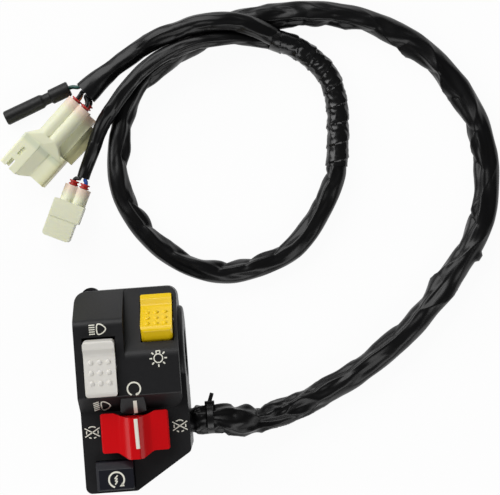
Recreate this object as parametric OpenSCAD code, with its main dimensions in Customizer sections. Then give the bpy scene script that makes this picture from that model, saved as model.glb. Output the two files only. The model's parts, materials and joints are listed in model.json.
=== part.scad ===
// Handlebar switch cluster: two clamped halves, three rocker switches, a push-button and their loom.
// Frame: origin in the middle of the handlebar bore, on the parting plane.
// +X runs along the bar towards the loom, +Y up the switch face, +Z out of the face. Millimetres.

/* [Handlebar clamp] */
// Diameter of the handlebar that the two halves clamp
bar_d = 22.2; // [20:0.1:26]
// Wall of the half-round saddles round the bar
saddle_wall = 2; // [1.6:0.1:2.4]
// Gap left between the two halves, so that they can clamp
parting_gap = 0.3; // [0.2:0.1:0.8]

/* [Housing] */
// Wall of both halves
wall = 2.2; // [1.8:0.1:2.6]
// Height of the flat face above the bar saddle
face_rise = 16.9; // [15:0.1:22]
// Step from the flat face down to the deck
deck_step = 10; // [7:0.5:11]
// Run of the slope between face and deck, along Y
band_run = 7; // [5:0.5:10]
// Distance from the bar's surface to the top edge, along Y
top_reach = 19.9; // [19:0.1:24]
// Height of the top edge above the parting plane
top_edge_rise = 6; // [5:0.5:9]
// Slope of the face that carries the light rocker, in degrees
light_slope = 40; // [36:1:44]
// Slope at the top of the dimmer column, in degrees
column_slope = 61.5; // [58:0.5:66]
// Depth of the back below the bar's surface
back_depth = 5.9; // [5:0.1:9]
// Chamfer at the lower edge of the back
back_low_chamfer = 6; // [3:0.5:8]
// Chamfer at the upper edge of the back
back_top_chamfer = 9; // [4:0.5:10]
// Radius of the bend between the face and the dimmer column's slope
column_crease_r = 4; // [3:0.25:5]
// Radius of the bend between the face and the light rocker's slope
light_crease_r = 6; // [4:0.25:7]
// Radius of the face's lower edge
face_edge_r = 1; // [0.4:0.1:1.6]
// Radius of the top corners
top_corner_r = 4.5; // [2:0.5:5]
// Radius of the lower right corner of the raised block
block_corner_r = 5; // [3:0.5:7]
// Radius of the bottom corners
bottom_corner_r = 3; // [2:0.5:4]
// Width of the round collar at the loom side
collar_w = 2.2; // [1.8:0.1:3]
// Radius of the round collar about the bar
collar_r = 21.7; // [19:0.1:23]
// Radius of the collar's outer edge
collar_edge_r = 1.6; // [0.5:0.1:1.8]
// Height of the cut at the lower right corner
cut_rise = 16; // [10:0.5:18]

/* [Rockers] */
// Width of a rocker
rocker_w = 14; // [12:0.5:15]
// Length of a rocker
rocker_len = 24.8; // [23:0.2:26]
// Radius of a rocker's corners, seen from above
rocker_corner_r = 1.6; // [0.8:0.1:2.2]
// Gap between a rocker and the side walls of its well
rocker_side_gap = 0.4; // [0.3:0.1:0.7]
// Gap between a rocker and the ends of its opening
rocker_end_gap = 0.8; // [0.7:0.1:1.2]
// Height of a rocker's raised end above its face, at mid travel
rocker_high = 5; // [4:0.25:6]
// Height of a rocker's lip above its face, at mid travel
rocker_lip = 3.2; // [2.5:0.1:4]
// Height of the dip between lip and pad, at mid travel
rocker_dip = 1.5; // [1:0.1:2]
// Half of a rocker's travel, in degrees
rocker_throw = 8; // [6:0.5:9]
// Pitch of the raised dots across a rocker
dot_pitch_x = 3.9; // [3:0.1:4.2]
// Pitch of the raised dots along a rocker
dot_pitch_y = 4.5; // [3.5:0.1:5]
// Diameter of a raised dot
dot_d = 2; // [1.2:0.1:2.4]
// Y of the dimmer rocker's pivot
dimmer_y = -2.2; // [-3:0.1:-1]
// Margin from the left side to the dimmer rocker
left_margin = 4; // [3.5:0.1:6]
// Margin between the dimmer rocker and the step of the face
column_margin = 4; // [3:0.1:5]
// Gap between the two rockers, across the face
rocker_spacing = 11.7; // [9.5:0.1:14]
// Margin between the light rocker and the side of the raised block
right_margin = 2.1; // [2:0.1:4]
// Margin between the light rocker's opening and the crease of its slope
light_margin = 6.25; // [5.5:0.05:7]

/* [Stop switch] */
// Width of the stop knob across its wings
knob_w = 30; // [26:0.5:32]
// Length of the stop knob's wings, along Y
knob_len = 17.5; // [16.6:0.1:19]
// Height of the underside of the wings above the deck
knob_lift = 3.8; // [3.7:0.1:5]
// Height of the wings' tips above the deck
knob_tip_rise = 6; // [5.5:0.1:7]
// Height of the wings beside the ridge, above the deck
knob_wing_rise = 7; // [6.5:0.1:8]
// Height of the ridge above the deck
knob_crest_rise = 11.5; // [10:0.1:13]
// Half width of the ridge at its foot
ridge_foot = 6.4; // [5:0.1:7]
// Half width of the ridge at its crest
ridge_crest = 2.1; // [1.5:0.1:3]
// Length of the ridge past the wings
ridge_over = 3; // [1.5:0.1:4]
// Gap between the wings and the foot of the slope
knob_gap = 0.5; // [0.4:0.1:1.5]
// Half of the stop knob's travel, in degrees
knob_throw = 12; // [8:0.5:12]
// Depth of the round notch in the knob that clears the pointer boss
notch_depth = 2.3; // [2:0.1:2.6]
// Half width of that notch
notch_half = 9; // [8.5:0.1:10]
// Gap between the notch and the pointer boss
boss_gap = 1.6; // [1.3:0.1:2]
// Half width of the pointer boss at the deck
boss_half = 6.6; // [5:0.1:6.8]
// Half width of the pointer boss at the top of the slope
boss_neck = 4.6; // [4:0.1:5]

/* [Start button] */
// Width of the start button
start_w = 16.5; // [14:0.5:18]
// Length of the start button, along Y
start_len = 12.5; // [11:0.5:13.5]
// Height of the start button above the deck
start_rise = 7.5; // [5.5:0.5:9]
// Travel of the start button
start_travel = 3; // [2:0.1:3.5]
// Chamfer along the left side of the start button's top
start_side_chamfer = 1.3; // [0.8:0.1:2]
// Gap between the start button and its opening
start_side_gap = 0.3; // [0.2:0.05:0.5]
// Gap between the start button and the stop knob's ridge
start_gap = 0.9; // [0.6:0.1:2]
// Margin between the start button and the left side
start_margin = 5.5; // [4.8:0.1:7]
// Margin between the start button and the bottom edge
bottom_margin = 1.7; // [1.5:0.1:3]

/* [Switch mechanism] */
// Diameter of a pivot pin
pin_d = 2; // [1.6:0.1:2.4]
// Depth of a pivot below its face
pivot_depth = 2.5; // [2.3:0.1:2.8]
// Distance from a pivot to the round tip of its leg
leg_len = 4.3; // [4:0.1:4.6]
// Diameter of a leg's round tip
tip_d = 2.4; // [2:0.1:2.6]
// Wall of a switch well
well_wall = 1.6; // [1.2:0.1:1.6]
// Thickness of a contact board
board_t = 1.4; // [1:0.1:1.5]
// Length of a contact board
board_len = 21.2; // [19:0.2:22]
// Diameter of a detent ball
ball_d = 2.2; // [1.8:0.1:2.4]
// Wire of a detent spring
detent_wire = 0.35; // [0.3:0.05:0.4]
// Wire of the start button's return spring
return_wire = 0.6; // [0.5:0.05:0.7]
// Outer diameter of the start button's return spring
return_d = 5.6; // [5:0.1:6]
// Diameter of a contact rivet
rivet_d = 1.8; // [1.4:0.1:2]
// Diameter of a small board screw's thread
board_screw_d = 1.3; // [1.1:0.1:1.5]
// Diameter of a housing screw's thread
screw_d = 4; // [3:0.5:4.5]
// Diameter of a housing screw's head
screw_head_d = 7; // [6:0.5:7.5]

/* [Loom] */
// Diameter of the loom sheath
loom_d = 11; // [9:0.5:12]
// Diameter of the loom sheath in the inner loop, where it is drawn tighter
loop_d = 9.4; // [8:0.1:9.8]
// Diameter of the main branch sheath
main_branch_d = 8.6; // [7:0.1:8.8]
// Diameter of the small branch sheath
small_branch_d = 6.6; // [5:0.1:6.8]
// Diameter of a wire over its insulation
wire_d = 1.9; // [1.5:0.1:2.1]
// Diameter of the bullet sleeve
bullet_d = 6.8; // [6.4:0.1:7.4]
// Length of the bullet sleeve
bullet_len = 32.5; // [28:0.5:36]
// Bore of the bullet terminal
bullet_bore_d = 4; // [3.5:0.1:4.2]
// Wall of the plug housings
plug_wall = 1.3; // [1:0.1:1.6]
// Height of the main plug
main_plug_h = 15; // [14.6:0.1:16]
// Height of the small plug
small_plug_h = 10; // [9:0.1:11]
// Pitch of the terminals in both plugs
way_pitch = 5.2; // [5:0.1:5.6]
// Diameter of a wire seal
seal_d = 4.6; // [4.2:0.1:4.7]

/* [Hidden] */
$fn = 48;

// Overlap of shapes that are joined, and reach of cuts past a surface
joint = 0.4;
past = 1;
// Radial clearances: a pin in its wall, a rocker on its pin, a part pressed into its hole
pin_fit = 0.02;
pivot_fit = 0.05;
press_fit = 0.02;
// Clearances of the sliding pieces
slide_gap = 0.3;
contact_gap = 0.1;
tip_gap = 0.1;
board_gap = 0.2;

// Heights and outlines of the housing
bar_r = bar_d / 2;
saddle_r = bar_r + saddle_wall;
split_z = parting_gap / 2;
face_z = saddle_r + face_rise;
deck_z = face_z - deck_step;
back_z = -(bar_r + back_depth);
top_y = bar_r + top_reach;
well_half = rocker_w / 2 + rocker_side_gap;
open_half = rocker_len / 2 + rocker_end_gap;
half_w = (left_margin + 2 * rocker_w + rocker_spacing + right_margin + collar_w) / 2;
block_x = half_w - collar_w;
dimmer_x = -half_w + left_margin + rocker_w / 2;
step_x = dimmer_x + rocker_w / 2 + column_margin;
light_x = block_x - right_margin - rocker_w / 2;
face_rim = 0.3;
face_low_y = dimmer_y - open_half - face_rim;
band_foot_y = face_low_y - band_run;
band_angle = atan2(deck_step, band_run);
column_crease_y = top_y - (face_z - top_edge_rise) / tan(column_slope);
light_crease_y = top_y - (face_z - top_edge_rise) / tan(light_slope);
light_along = open_half + light_margin;
light_y = light_crease_y + light_along * cos(light_slope);
light_z = face_z - light_along * sin(light_slope);
stop_x = 0;
stop_y = band_foot_y - knob_gap - knob_len / 2;
start_x = -half_w + start_margin + start_w / 2;
start_y = stop_y - knob_len / 2 - ridge_over - start_gap - start_len / 2;
bottom_y = start_y - start_len / 2 - bottom_margin;
cut_margin = 1;
cut_x = start_x + start_w / 2 + cut_margin;
cut_y = bottom_y + cut_rise;
cut_corner_r = 2;

// Housing screws: places, posts and heads
post_d = 7;
post_top_drop = 12.5;
post_left_in = 7.5;
post_knob_up = 0.8;
post_right_in = 15;
post_cut_drop = 4;
post_places = [
    [dimmer_x, top_y - post_top_drop],
    [-half_w + post_left_in, stop_y + post_knob_up],
    [half_w - post_right_in, cut_y - post_cut_drop]
];
post_bore_d = screw_d + 0.4;
screw_head_t = 3;
screw_seat_z = back_z + screw_head_t + 1;
screw_reach = 8;
screw_head_gap = 0.2;
screw_slot_half = 0.5;
screw_slot_depth = 2.4;
screw_slot_share = 0.3;

// Mechanism levels below a switch's own face
tip_level = pivot_depth + leg_len;
leg_half = 2;
leg_t = 2;
hub_r = 3;
carriage_top = tip_level - tip_d / 2;
carriage_low = tip_level + tip_d / 2 + tip_gap * 2;
carriage_half = well_half - slide_gap;
carriage_run = 3.4;
slot_half = leg_half + slide_gap;
moving_t = 0.5;
board_top = carriage_low + moving_t + contact_gap;
board_low = board_top + board_t;
rivet_head_t = 0.5;
rivet_head_d = rivet_d + 0.8;
rivet_x = 4;
rivet_y = 2.2;
well_depth = board_low + rivet_head_t + 0.6;
board_boss_x = well_half - 1.4;
board_boss_y = board_len / 2 - 1.2;
board_boss_r = 1.6;
board_boss_t = 2.4;
board_screw_head_d = 2.6;
board_screw_head_t = 0.9;
board_screw_in = 1.8;
pin_seat = 1;
groove_depth = 0.45;
ball_out = 0.2;
ball_x = well_half + ball_out - ball_d / 2;
detent_fit = 0.15;
detent_bore_x = leg_half + slide_gap * 2;
detent_turns = 3;

// Start button levels below the deck
start_body_low = 5.5;
start_flange_t = 1.5;
start_flange_over = 1;
start_flange_half = 2.4;
start_rest_gap = 0.3;
bridge_t = 0.6;
start_board_top = start_body_low + bridge_t + start_travel + 0.5;
start_board_low = start_board_top + board_t;
start_contact_rise = 0.4;
start_contact_x = 5.2;
start_pocket_top = 1.5;
start_pocket_r = return_d / 2 + 0.3;
start_bridge_half_x = 6.6;
start_bridge_half_y = 4.4;
start_post_r = 1.3;
start_screw_x = start_w / 2 + start_side_gap + start_post_r;
start_screw_y = start_flange_half + start_side_gap + start_post_r;
start_board_half_x = start_screw_x + start_post_r;
start_board_half_y = start_screw_y + 0.8;
start_board_cut = 4.5;
return_turns = 5;

// Raised dots and the rocker's edges
dot_sink = 0.55;
rocker_under = 3;
lip_len = 3.4;
dip_len = 3;
dot_rows = [-1, 0, 1];
dimmer_dots_y = -1.6;
light_dots_y = -3.9;

// Routes of the loom, its tape and its branches, chosen along the middle of each sheath
loom_route = [
    [14, -31, 0], [24, -31, 0], [36.5, -31, 0], [46, -33.2, -3.4], [57, -33.2, -8.6],
    [71, -29.5, -11.4], [98, -17.5, -11.4], [123.5, -0.5, -11.4], [147, 24, -11.4],
    [163.5, 48.5, -11.4], [168, 71, -11.4], [165.5, 94, -11.4], [155.5, 115, -11.4],
    [139.5, 133, -11.4], [117, 146, -11.4], [94.5, 151, -11.4], [67, 150.4, -11.4],
    [56, 148.6, -11.4], [43, 144, -11.4], [20.7, 133.2, -11.4], [7, 120.2, -11.8],
    [0.5, 101.5, -12.2], [-1.6, 87, -12.2], [0, 73, -12.2], [10.5, 54, -12.2],
    [26, 40.5, -12.2], [46, 34.5, -12.2], [72, 41, -12.2], [82.5, 49, -12.2],
    [90.6, 60.2, -12.2], [98, 75, -12.2], [99.4, 81.4, -12.2]
];
loop_from = 20;
tape_route = [
    [99.6, 82.4, -12.2], [100.5, 90, -12.1], [101.3, 109.5, -11.6], [98.4, 121.5, -11],
    [91.6, 130.2, -10.2], [83.8, 136.2, -9.5], [75.8, 139.5, -9]
];
main_branch_route = [
    [74.2, 141.2, -5.2], [66, 145.6, -2.6], [56, 148.8, -0.9], [41, 149, -1], [31.3, 146.8, -2.2],
    [22.8, 144.6, -3.8], [12, 140, -9.5], [3, 134.6, -12], [-6, 128.6, -12.6], [-14, 122.1, -12.6]
];
small_branch_route = [
    [74, 139.3, -13.2], [66, 140.8, -10.8], [56, 141.8, -4.6], [44, 141.2, -2.4], [36, 140, -2.1],
    [28, 137.6, -2.2], [20, 134, -2.4], [12, 128.4, -2.8], [3.2, 119.6, -3], [-2.5, 112.5, -5],
    [-7, 106.5, -7], [-12.6, 94.6, -9], [-15.8, 88.2, -11.6], [-17.9, 83.2, -12]
];
tape_extra = 0.3;
tape_end_half_w = 5;
tape_end_half_h = 8;
exit_fit = 0.1;
exit_y = loom_route[0][1];
exit_z = loom_route[0][2];

// Cable clamp inside the rear half
clamp_x = 18;
clamp_w = 4;
clamp_ear = 11;
clamp_ear_t = 2;
clamp_over = 1;
clamp_screw_y = 8.8;
clamp_screw_d = 2.5;
clamp_head_d = 4;
clamp_head_t = 1.4;
clamp_boss_d = 5;
clamp_screw_in = 6;

// Tie round the loom outside the exit
tie_x = 33;
tie_w = 3;
tie_t = 1.1;
tie_head = [4.4, 3, 3.6];
tie_tail = [1.2, 4.6, 1.8];
tie_lean = 20;

// Plugs and bullet: place of the wire end and direction on the surface that they lie on
main_plug_at = [-16.6, 116.6, back_z];
main_plug_turn = 224;
small_plug_at = [-20.4, 79, back_z];
small_plug_turn = 245.5;
bullet_at = [-21.4, 125, back_z + bullet_d / 2 + 0.2];
bullet_turn = 201.4;

// Corner points of an arc of radius r at corner p, coming from a and going to b
function unit(v) = v / norm(v);
function swing(angle) = angle > 180 ? angle - 360 : angle < -180 ? angle + 360 : angle;
function corner(a, p, b, r, steps = 6) =
    r <= 0 ? [p] :
    let(u = unit(a - p), v = unit(b - p))
    let(half = acos(u * v) / 2, middle = p + unit(u + v) * r / sin(half))
    let(first = p + u * r / tan(half) - middle, last = p + v * r / tan(half) - middle)
    let(from = atan2(first[1], first[0]), turn = swing(atan2(last[1], last[0]) - from))
    [for (i = [0:steps]) middle + r * [cos(from + turn * i / steps), sin(from + turn * i / steps)]];

// An outline with each corner rounded by its own radius
function rounded(points, radii) =
    let(n = len(points))
    [for (i = [0:n - 1]) each corner(points[(i + n - 1) % n], points[i], points[(i + 1) % n], radii[i])];

// A value that may be one number or a list with one number per ring
function pick(value, i) = is_list(value) ? value[i] : value;

// One ring of a swept tube: half width across, half height up
function ring(points, i, half_width, half_height, sides) =
    let(n = len(points), along = unit(points[min(i + 1, n - 1)] - points[max(i - 1, 0)]))
    let(side = unit(cross([0, 0, 1], along)), up = cross(along, side))
    [for (k = [0:sides - 1])
        points[i] + side * pick(half_width, i) * cos(360 * k / sides)
        + up * pick(half_height, i) * sin(360 * k / sides)];

// A closed tube swept along points, one ring at each point
module tube(points, half_width, half_height, sides) {
    last = len(points) - 1;
    skin = [for (i = [0:last]) each ring(points, i, half_width, half_height, sides)];
    walls = [for (i = [0:last - 1], k = [0:sides - 1])
        let(a = i * sides + k, b = i * sides + (k + 1) % sides)
        each [[a, a + sides, b], [b, a + sides, b + sides]]];
    near_cap = [for (k = [1:sides - 2]) [0, k, k + 1]];
    far_cap = [for (k = [1:sides - 2]) [last * sides, last * sides + k + 1, last * sides + k]];
    polyhedron(points = skin, faces = concat(walls, near_cap, far_cap), convexity = 8);
}

module round_tube(points, d, sides) {
    tube(points, d / 2, d / 2, sides);
}

// A compression spring that stands on z = 0
module coil_spring(length, d, wire, turns) {
    rings_per_turn = 8;
    steps = turns * rings_per_turn;
    middle_r = (d - wire) / 2;
    rise = length - wire;
    path = [for (i = [0:steps])
        [middle_r * cos(360 * i / rings_per_turn), middle_r * sin(360 * i / rings_per_turn),
         wire / 2 + rise * i / steps]];
    round_tube(path, wire, 6);
}

// A box given by its middle in x and y, half sizes, and two levels
module slab(half_x, half_y, low, high) {
    translate([-half_x, -half_y, low]) cube([2 * half_x, 2 * half_y, high - low]);
}

// A round bar along x
module bar_x(r, from, to) {
    translate([from, 0, 0]) rotate([0, 90, 0]) cylinder(r = r, h = to - from);
}

// A profile in Y and Z, extruded along X
module along_x(profile, from, to) {
    translate([from, 0, 0]) rotate([90, 0, 90]) linear_extrude(to - from) polygon(profile);
}

// A profile in X and Z, extruded along Y
module along_y(profile, from, to) {
    translate([0, to, 0]) rotate([90, 0, 0]) linear_extrude(to - from) polygon(profile);
}

// Side profile of the raised block, drawn in by t, down to a level
function block_profile(crease, slope, crease_r, t, low) =
    let(band_shift = t * tan(band_angle / 2))
    let(edge_z = face_z - (top_y - t - crease) * tan(slope) - t / cos(slope))
    rounded(
        [
            [band_foot_y + band_shift, low], [band_foot_y + band_shift, deck_z - t],
            [face_low_y + band_shift, face_z - t], [crease - t * tan(slope / 2), face_z - t],
            [top_y - t, edge_z], [top_y - t, low]
        ],
        [0, 0, face_edge_r - t, crease_r - t, 0, 0]);

// Plan of the raised block and of the deck, drawn in by t
function block_plan(t) = rounded(
    [
        [-half_w + t, top_y - t], [-half_w + t, band_foot_y], [block_x - t, band_foot_y],
        [block_x - t, top_y - t]
    ],
    [max(top_corner_r - t, 0.6), 0, block_corner_r - t / 2, max(top_corner_r - t, 0.6)]);
function deck_plan(t) = rounded(
    [
        [-half_w + t, face_low_y - t], [-half_w + t, bottom_y + t], [cut_x - t / 3, bottom_y + t],
        [half_w - t, cut_y + t / 2], [half_w - t, face_low_y - t]
    ],
    [0, max(bottom_corner_r - t, 0.6), cut_corner_r, cut_corner_r, 0]);

// Outer form of the front half, drawn in by t, from a level up
module front_form(t, low) {
    intersection() {
        translate([0, 0, low - past]) linear_extrude(face_z + 2 * past - low) polygon(block_plan(t));
        union() {
            along_x(block_profile(column_crease_y, column_slope, column_crease_r, t, low),
                -half_w - past, step_x - t);
            along_x(block_profile(light_crease_y, light_slope, light_crease_r, t, low),
                -half_w - past, block_x + past);
        }
    }
    translate([0, 0, low]) linear_extrude(deck_z - t - low) polygon(deck_plan(t));
}

// Side profile of the rear half, drawn in by t, up to a level
function rear_profile(t, high) =
    let(shift = t * tan(22.5))
    [
        [bottom_y + t, high], [bottom_y + t, back_z + back_low_chamfer + shift],
        [bottom_y + back_low_chamfer + shift, back_z + t],
        [top_y - back_top_chamfer - shift, back_z + t],
        [top_y - t, back_z + back_top_chamfer + shift], [top_y - t, high]
    ];

// Outer form of the rear half, drawn in by t, up to a level
module rear_form(t, high) {
    intersection() {
        along_x(rear_profile(t, high), -half_w - past, half_w + past);
        union() {
            translate([0, 0, back_z - past]) linear_extrude(high + 2 * past - back_z) polygon(block_plan(t));
            translate([0, 0, back_z - past]) linear_extrude(high + 2 * past - back_z) polygon(deck_plan(t));
        }
    }
}

// Round collar at the loom side, on one side of the parting plane
module collar(low, high) {
    disc_t = collar_w + joint;
    intersection() {
        translate([block_x - joint, 0, 0]) rotate([0, 90, 0]) rotate_extrude() polygon(rounded(
            [[0, 0], [collar_r, 0], [collar_r, disc_t], [0, disc_t]], [0, 0, collar_edge_r, 0]));
        translate([block_x - past, -collar_r - past, low])
            cube([collar_w + 2 * past, 2 * (collar_r + past), high - low]);
    }
}

// Filling between the collar and the deck, at the deck's level
module collar_apron() {
    collar_low_y = -sqrt(collar_r * collar_r - deck_z * deck_z);
    translate([block_x - joint, face_low_y - past, split_z])
        cube([collar_w + joint, collar_low_y - face_low_y + past, deck_z - split_z]);
}

// Half of the bar saddle, on one side of the parting plane
module saddle(low, high) {
    intersection() {
        bar_x(saddle_r, -half_w, half_w);
        translate([-half_w - past, -saddle_r - past, low])
            cube([2 * (half_w + past), 2 * (saddle_r + past), high - low]);
    }
}

// Places of the switches, each with its own face at z = 0
module at_dimmer() {
    translate([dimmer_x, dimmer_y, face_z]) children();
}

module at_light() {
    translate([light_x, light_y, light_z]) rotate([-light_slope, 0, 0]) children();
}

module at_stop() {
    translate([stop_x, stop_y, deck_z]) rotate([0, 0, 90]) children();
}

module at_start() {
    translate([start_x, start_y, deck_z]) children();
}

module at_each_switch() {
    at_dimmer() children();
    at_light() children();
    at_stop() children();
}

// Places of a contact board's two screws
module at_board_screws() {
    for (side = [-1, 1]) translate([side * board_boss_x, side * board_boss_y, 0]) children();
}

module at_start_screws() {
    for (side = [-1, 1]) translate([side * start_screw_x, side * start_screw_y, 0]) children();
}

// Side walls of a switch well
module well_walls() {
    for (side = [-1, 1])
        translate([side * (well_half + well_wall / 2), 0, 0])
            slab(well_wall / 2 + joint / 2, board_len / 2 + board_gap, -board_low, 0);
}

// Room for a switch's moving pieces and its board
module well_space() {
    slab(well_half, board_len / 2 + board_gap, -well_depth, -wall);
    for (side = [-1, 1])
        translate([side * well_half, 0, -tip_level])
            slab(groove_depth, ball_d / 2 + groove_depth + leg_len * sin(knob_throw), -ball_d / 2, ball_d / 2);
}

// Room for the ends of a rocker below its face, over its whole travel
module swing_space() {
    swing_depth = rocker_under + open_half * sin(rocker_throw) + rocker_end_gap;
    slab(well_half, open_half, -swing_depth, -wall);
}

// Room for the start button below the deck, over its whole travel
module start_bay() {
    bay_depth = start_body_low + start_travel + start_side_gap;
    slab(start_w / 2 + start_side_gap, start_len / 2 + start_side_gap, -bay_depth, -wall);
}

// Bosses that a contact board is screwed against
module board_bosses() {
    at_board_screws() translate([0, 0, -board_top]) cylinder(r = board_boss_r, h = board_boss_t);
}

module board_screw_holes() {
    at_board_screws() translate([0, 0, -board_top - past])
        cylinder(d = board_screw_d + 2 * press_fit, h = board_screw_in + past + 0.2);
}

// Hole for a pivot pin: blind on one side, open on the side named by open_side
module pin_hole(open_side) {
    length = 2 * well_half + pin_seat + well_wall + past;
    translate([open_side * (well_wall + past - pin_seat) / 2, 0, -pivot_depth])
        bar_x(pin_d / 2 + pin_fit, -length / 2, length / 2);
}

// Pointer boss above the stop knob
notch_r = (notch_half * notch_half + notch_depth * notch_depth) / (2 * notch_depth);
notch_y = stop_y + knob_len / 2 - notch_depth + notch_r;
boss_top_y = face_low_y - 1.2;
boss_top_z = face_z - 1.2;
boss_fall = 0.36;
boss_taper = 1.3;

module pointer_boss() {
    boss_r = notch_r - boss_gap;
    tip_y = notch_y - boss_r;
    intersection() {
        translate([stop_x, notch_y, deck_z - joint]) cylinder(r = boss_r, h = deck_step, $fn = 96);
        along_x(
            [
                [boss_top_y + 2, deck_z - joint], [boss_top_y + 2, boss_top_z - joint],
                [boss_top_y, boss_top_z], [tip_y - past, boss_top_z - (boss_top_y - tip_y + past) * boss_fall],
                [tip_y - past, deck_z - joint]
            ],
            stop_x - boss_half, stop_x + boss_half);
        along_y(
            [
                [stop_x - boss_half, deck_z - past], [stop_x - boss_half + boss_taper, boss_top_z + past],
                [stop_x + boss_half - boss_taper, boss_top_z + past], [stop_x + boss_half, deck_z - past]
            ],
            tip_y - past, face_low_y + past);
        translate([0, 0, deck_z - past]) linear_extrude(deck_step + 2 * past) polygon([
            [stop_x - boss_half, tip_y - past], [stop_x + boss_half, tip_y - past],
            [stop_x + boss_neck, face_low_y + past], [stop_x - boss_neck, face_low_y + past]
        ]);
    }
}

// Openings in the faces for the rockers, the stop knob's neck and the start button
knob_neck_half = 6.4;
neck_gap = 1;

module face_openings() {
    at_dimmer() slab(well_half, open_half, -wall - past, past);
    at_light() slab(well_half, open_half, -wall - past, past);
    at_stop() slab(well_half, knob_neck_half + neck_gap, -wall - past, past);
    at_start() slab(start_w / 2 + start_side_gap, start_len / 2 + start_side_gap, -wall - past, past);
}

// Hole through the side wall for the loom, centred on its route
module exit_hole() {
    translate([0, exit_y, exit_z]) bar_x(loom_d / 2 + exit_fit, half_w - wall - 2 * past, half_w + past);
}

module start_guides() {
    // The guide on the upper side of the start button, and the posts for its contact board
    guide_t = 1.4;
    at_start() {
        translate([0, start_len / 2 + start_side_gap + guide_t / 2, 0])
            slab(start_w / 2, guide_t / 2, -start_body_low, -wall + joint);
        at_start_screws() translate([0, 0, -start_board_top])
            cylinder(r = start_post_r, h = start_board_top - wall + joint);
    }
}

module front_housing() color("#1c1c1e") difference() {
    union() {
        difference() {
            union() {
                difference() {
                    front_form(0, split_z);
                    front_form(wall, split_z - past);
                }
                collar(split_z, collar_r + past);
                collar_apron();
                saddle(split_z, saddle_r + past);
                intersection() {
                    front_form(wall / 2, split_z);
                    at_each_switch() well_walls();
                }
                pointer_boss();
            }
            at_each_switch() well_space();
            at_dimmer() swing_space();
            at_light() swing_space();
            at_start() start_bay();
            face_openings();
        }
        at_each_switch() board_bosses();
        start_guides();
        intersection() {
            front_form(wall / 2, split_z);
            for (place = post_places)
                translate([place[0], place[1], split_z]) cylinder(d = post_d, h = face_z);
        }
    }
    bar_x(bar_r, -half_w - past, half_w + past);
    at_dimmer() pin_hole(1);
    at_light() pin_hole(-1);
    at_stop() pin_hole(1);
    at_each_switch() board_screw_holes();
    at_start() at_start_screws() translate([0, 0, -start_board_top - past])
        cylinder(d = board_screw_d + 2 * press_fit, h = board_screw_in + past + 0.2);
    for (place = post_places)
        translate([place[0], place[1], 0]) cylinder(d = screw_d + 2 * press_fit, h = screw_reach + 0.4);
    exit_hole();
}

module rear_housing() color("#202022") difference() {
    union() {
        difference() {
            rear_form(0, -split_z);
            rear_form(wall, -split_z + past);
        }
        collar(back_z, -split_z);
        saddle(-saddle_r - past, -split_z);
        intersection() {
            rear_form(wall / 2, -split_z);
            union() {
                for (place = post_places)
                    translate([place[0], place[1], back_z])
                        cylinder(d = screw_head_d + 2 * wall, h = -split_z - back_z);
                for (side = [-1, 1])
                    translate([clamp_x, exit_y + side * clamp_screw_y, back_z])
                        cylinder(d = clamp_boss_d, h = exit_z - split_z - back_z);
            }
        }
        top_lug();
    }
    bar_x(bar_r, -half_w - past, half_w + past);
    for (place = post_places) translate([place[0], place[1], 0]) {
        translate([0, 0, back_z - past]) cylinder(d = post_bore_d, h = -back_z + 2 * past);
        translate([0, 0, back_z - past])
            cylinder(d = screw_head_d + 2 * screw_head_gap, h = screw_seat_z - back_z + past);
    }
    for (side = [-1, 1])
        translate([clamp_x, exit_y + side * clamp_screw_y, exit_z - split_z - clamp_screw_in])
            cylinder(d = clamp_screw_d + 2 * press_fit, h = clamp_screw_in + past);
    exit_hole();
}

// Rounded lug of the rear half that shows past the top edge
lug_r = 4.6;
lug_over = 1.5;
lug_t = 5;
lug_drop = 1.2;
lug_side = 6.5;

module top_lug() {
    translate([-half_w + lug_side, top_y + lug_over - lug_r, -split_z - lug_drop - lug_t])
        cylinder(r = lug_r, h = lug_t);
}

module housing_screws() color("#8a8d90") for (place = post_places) translate([place[0], place[1], 0]) {
    difference() {
        translate([0, 0, screw_seat_z - screw_head_t]) cylinder(d = screw_head_d, h = screw_head_t);
        for (turn = [0, 90]) rotate([0, 0, turn])
            slab(screw_head_d * screw_slot_share, screw_slot_half, back_z - past, back_z + screw_slot_depth);
    }
    translate([0, 0, screw_seat_z - joint]) cylinder(d = screw_d, h = screw_reach + joint - screw_seat_z);
}

module small_screw(head_d, head_t, thread_d, length) {
    // Head below z = 0, thread above
    difference() {
        translate([0, 0, -head_t]) cylinder(d = head_d, h = head_t);
        slab(head_d, 0.2, -head_t - past, -head_t * 0.5);
    }
    translate([0, 0, -head_t * 0.4]) cylinder(d = thread_d, h = length + head_t * 0.4);
}

module board_screws() color("#9a9da0") {
    at_each_switch() at_board_screws() translate([0, 0, -board_low])
        small_screw(board_screw_head_d, board_screw_head_t, board_screw_d, board_t + board_screw_in);
    at_start() at_start_screws() translate([0, 0, -start_board_low])
        small_screw(board_screw_head_d, board_screw_head_t, board_screw_d, board_t + board_screw_in);
}

module cable_clamp() color("#2a2a2c") {
    loom_r = loom_d / 2 + exit_fit;
    translate([clamp_x, exit_y, exit_z]) difference() {
        union() {
            slab(clamp_w / 2, clamp_ear, -split_z, -split_z + clamp_ear_t);
            intersection() {
                bar_x(loom_r + clamp_over, -clamp_w / 2, clamp_w / 2);
                slab(clamp_w, clamp_ear, -split_z, loom_r + 2 * clamp_over);
            }
        }
        bar_x(loom_r, -clamp_w, clamp_w);
        for (side = [-1, 1]) translate([0, side * clamp_screw_y, -past])
            cylinder(d = clamp_screw_d + 2 * press_fit, h = clamp_ear_t + 2 * past);
    }
}

module clamp_screws() color("#9a9da0") {
    for (side = [-1, 1])
        translate([clamp_x, exit_y + side * clamp_screw_y, exit_z - split_z + clamp_ear_t]) rotate([180, 0, 0])
            small_screw(clamp_head_d, clamp_head_t, clamp_screw_d, clamp_ear_t + clamp_screw_in - 0.5);
}

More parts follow.
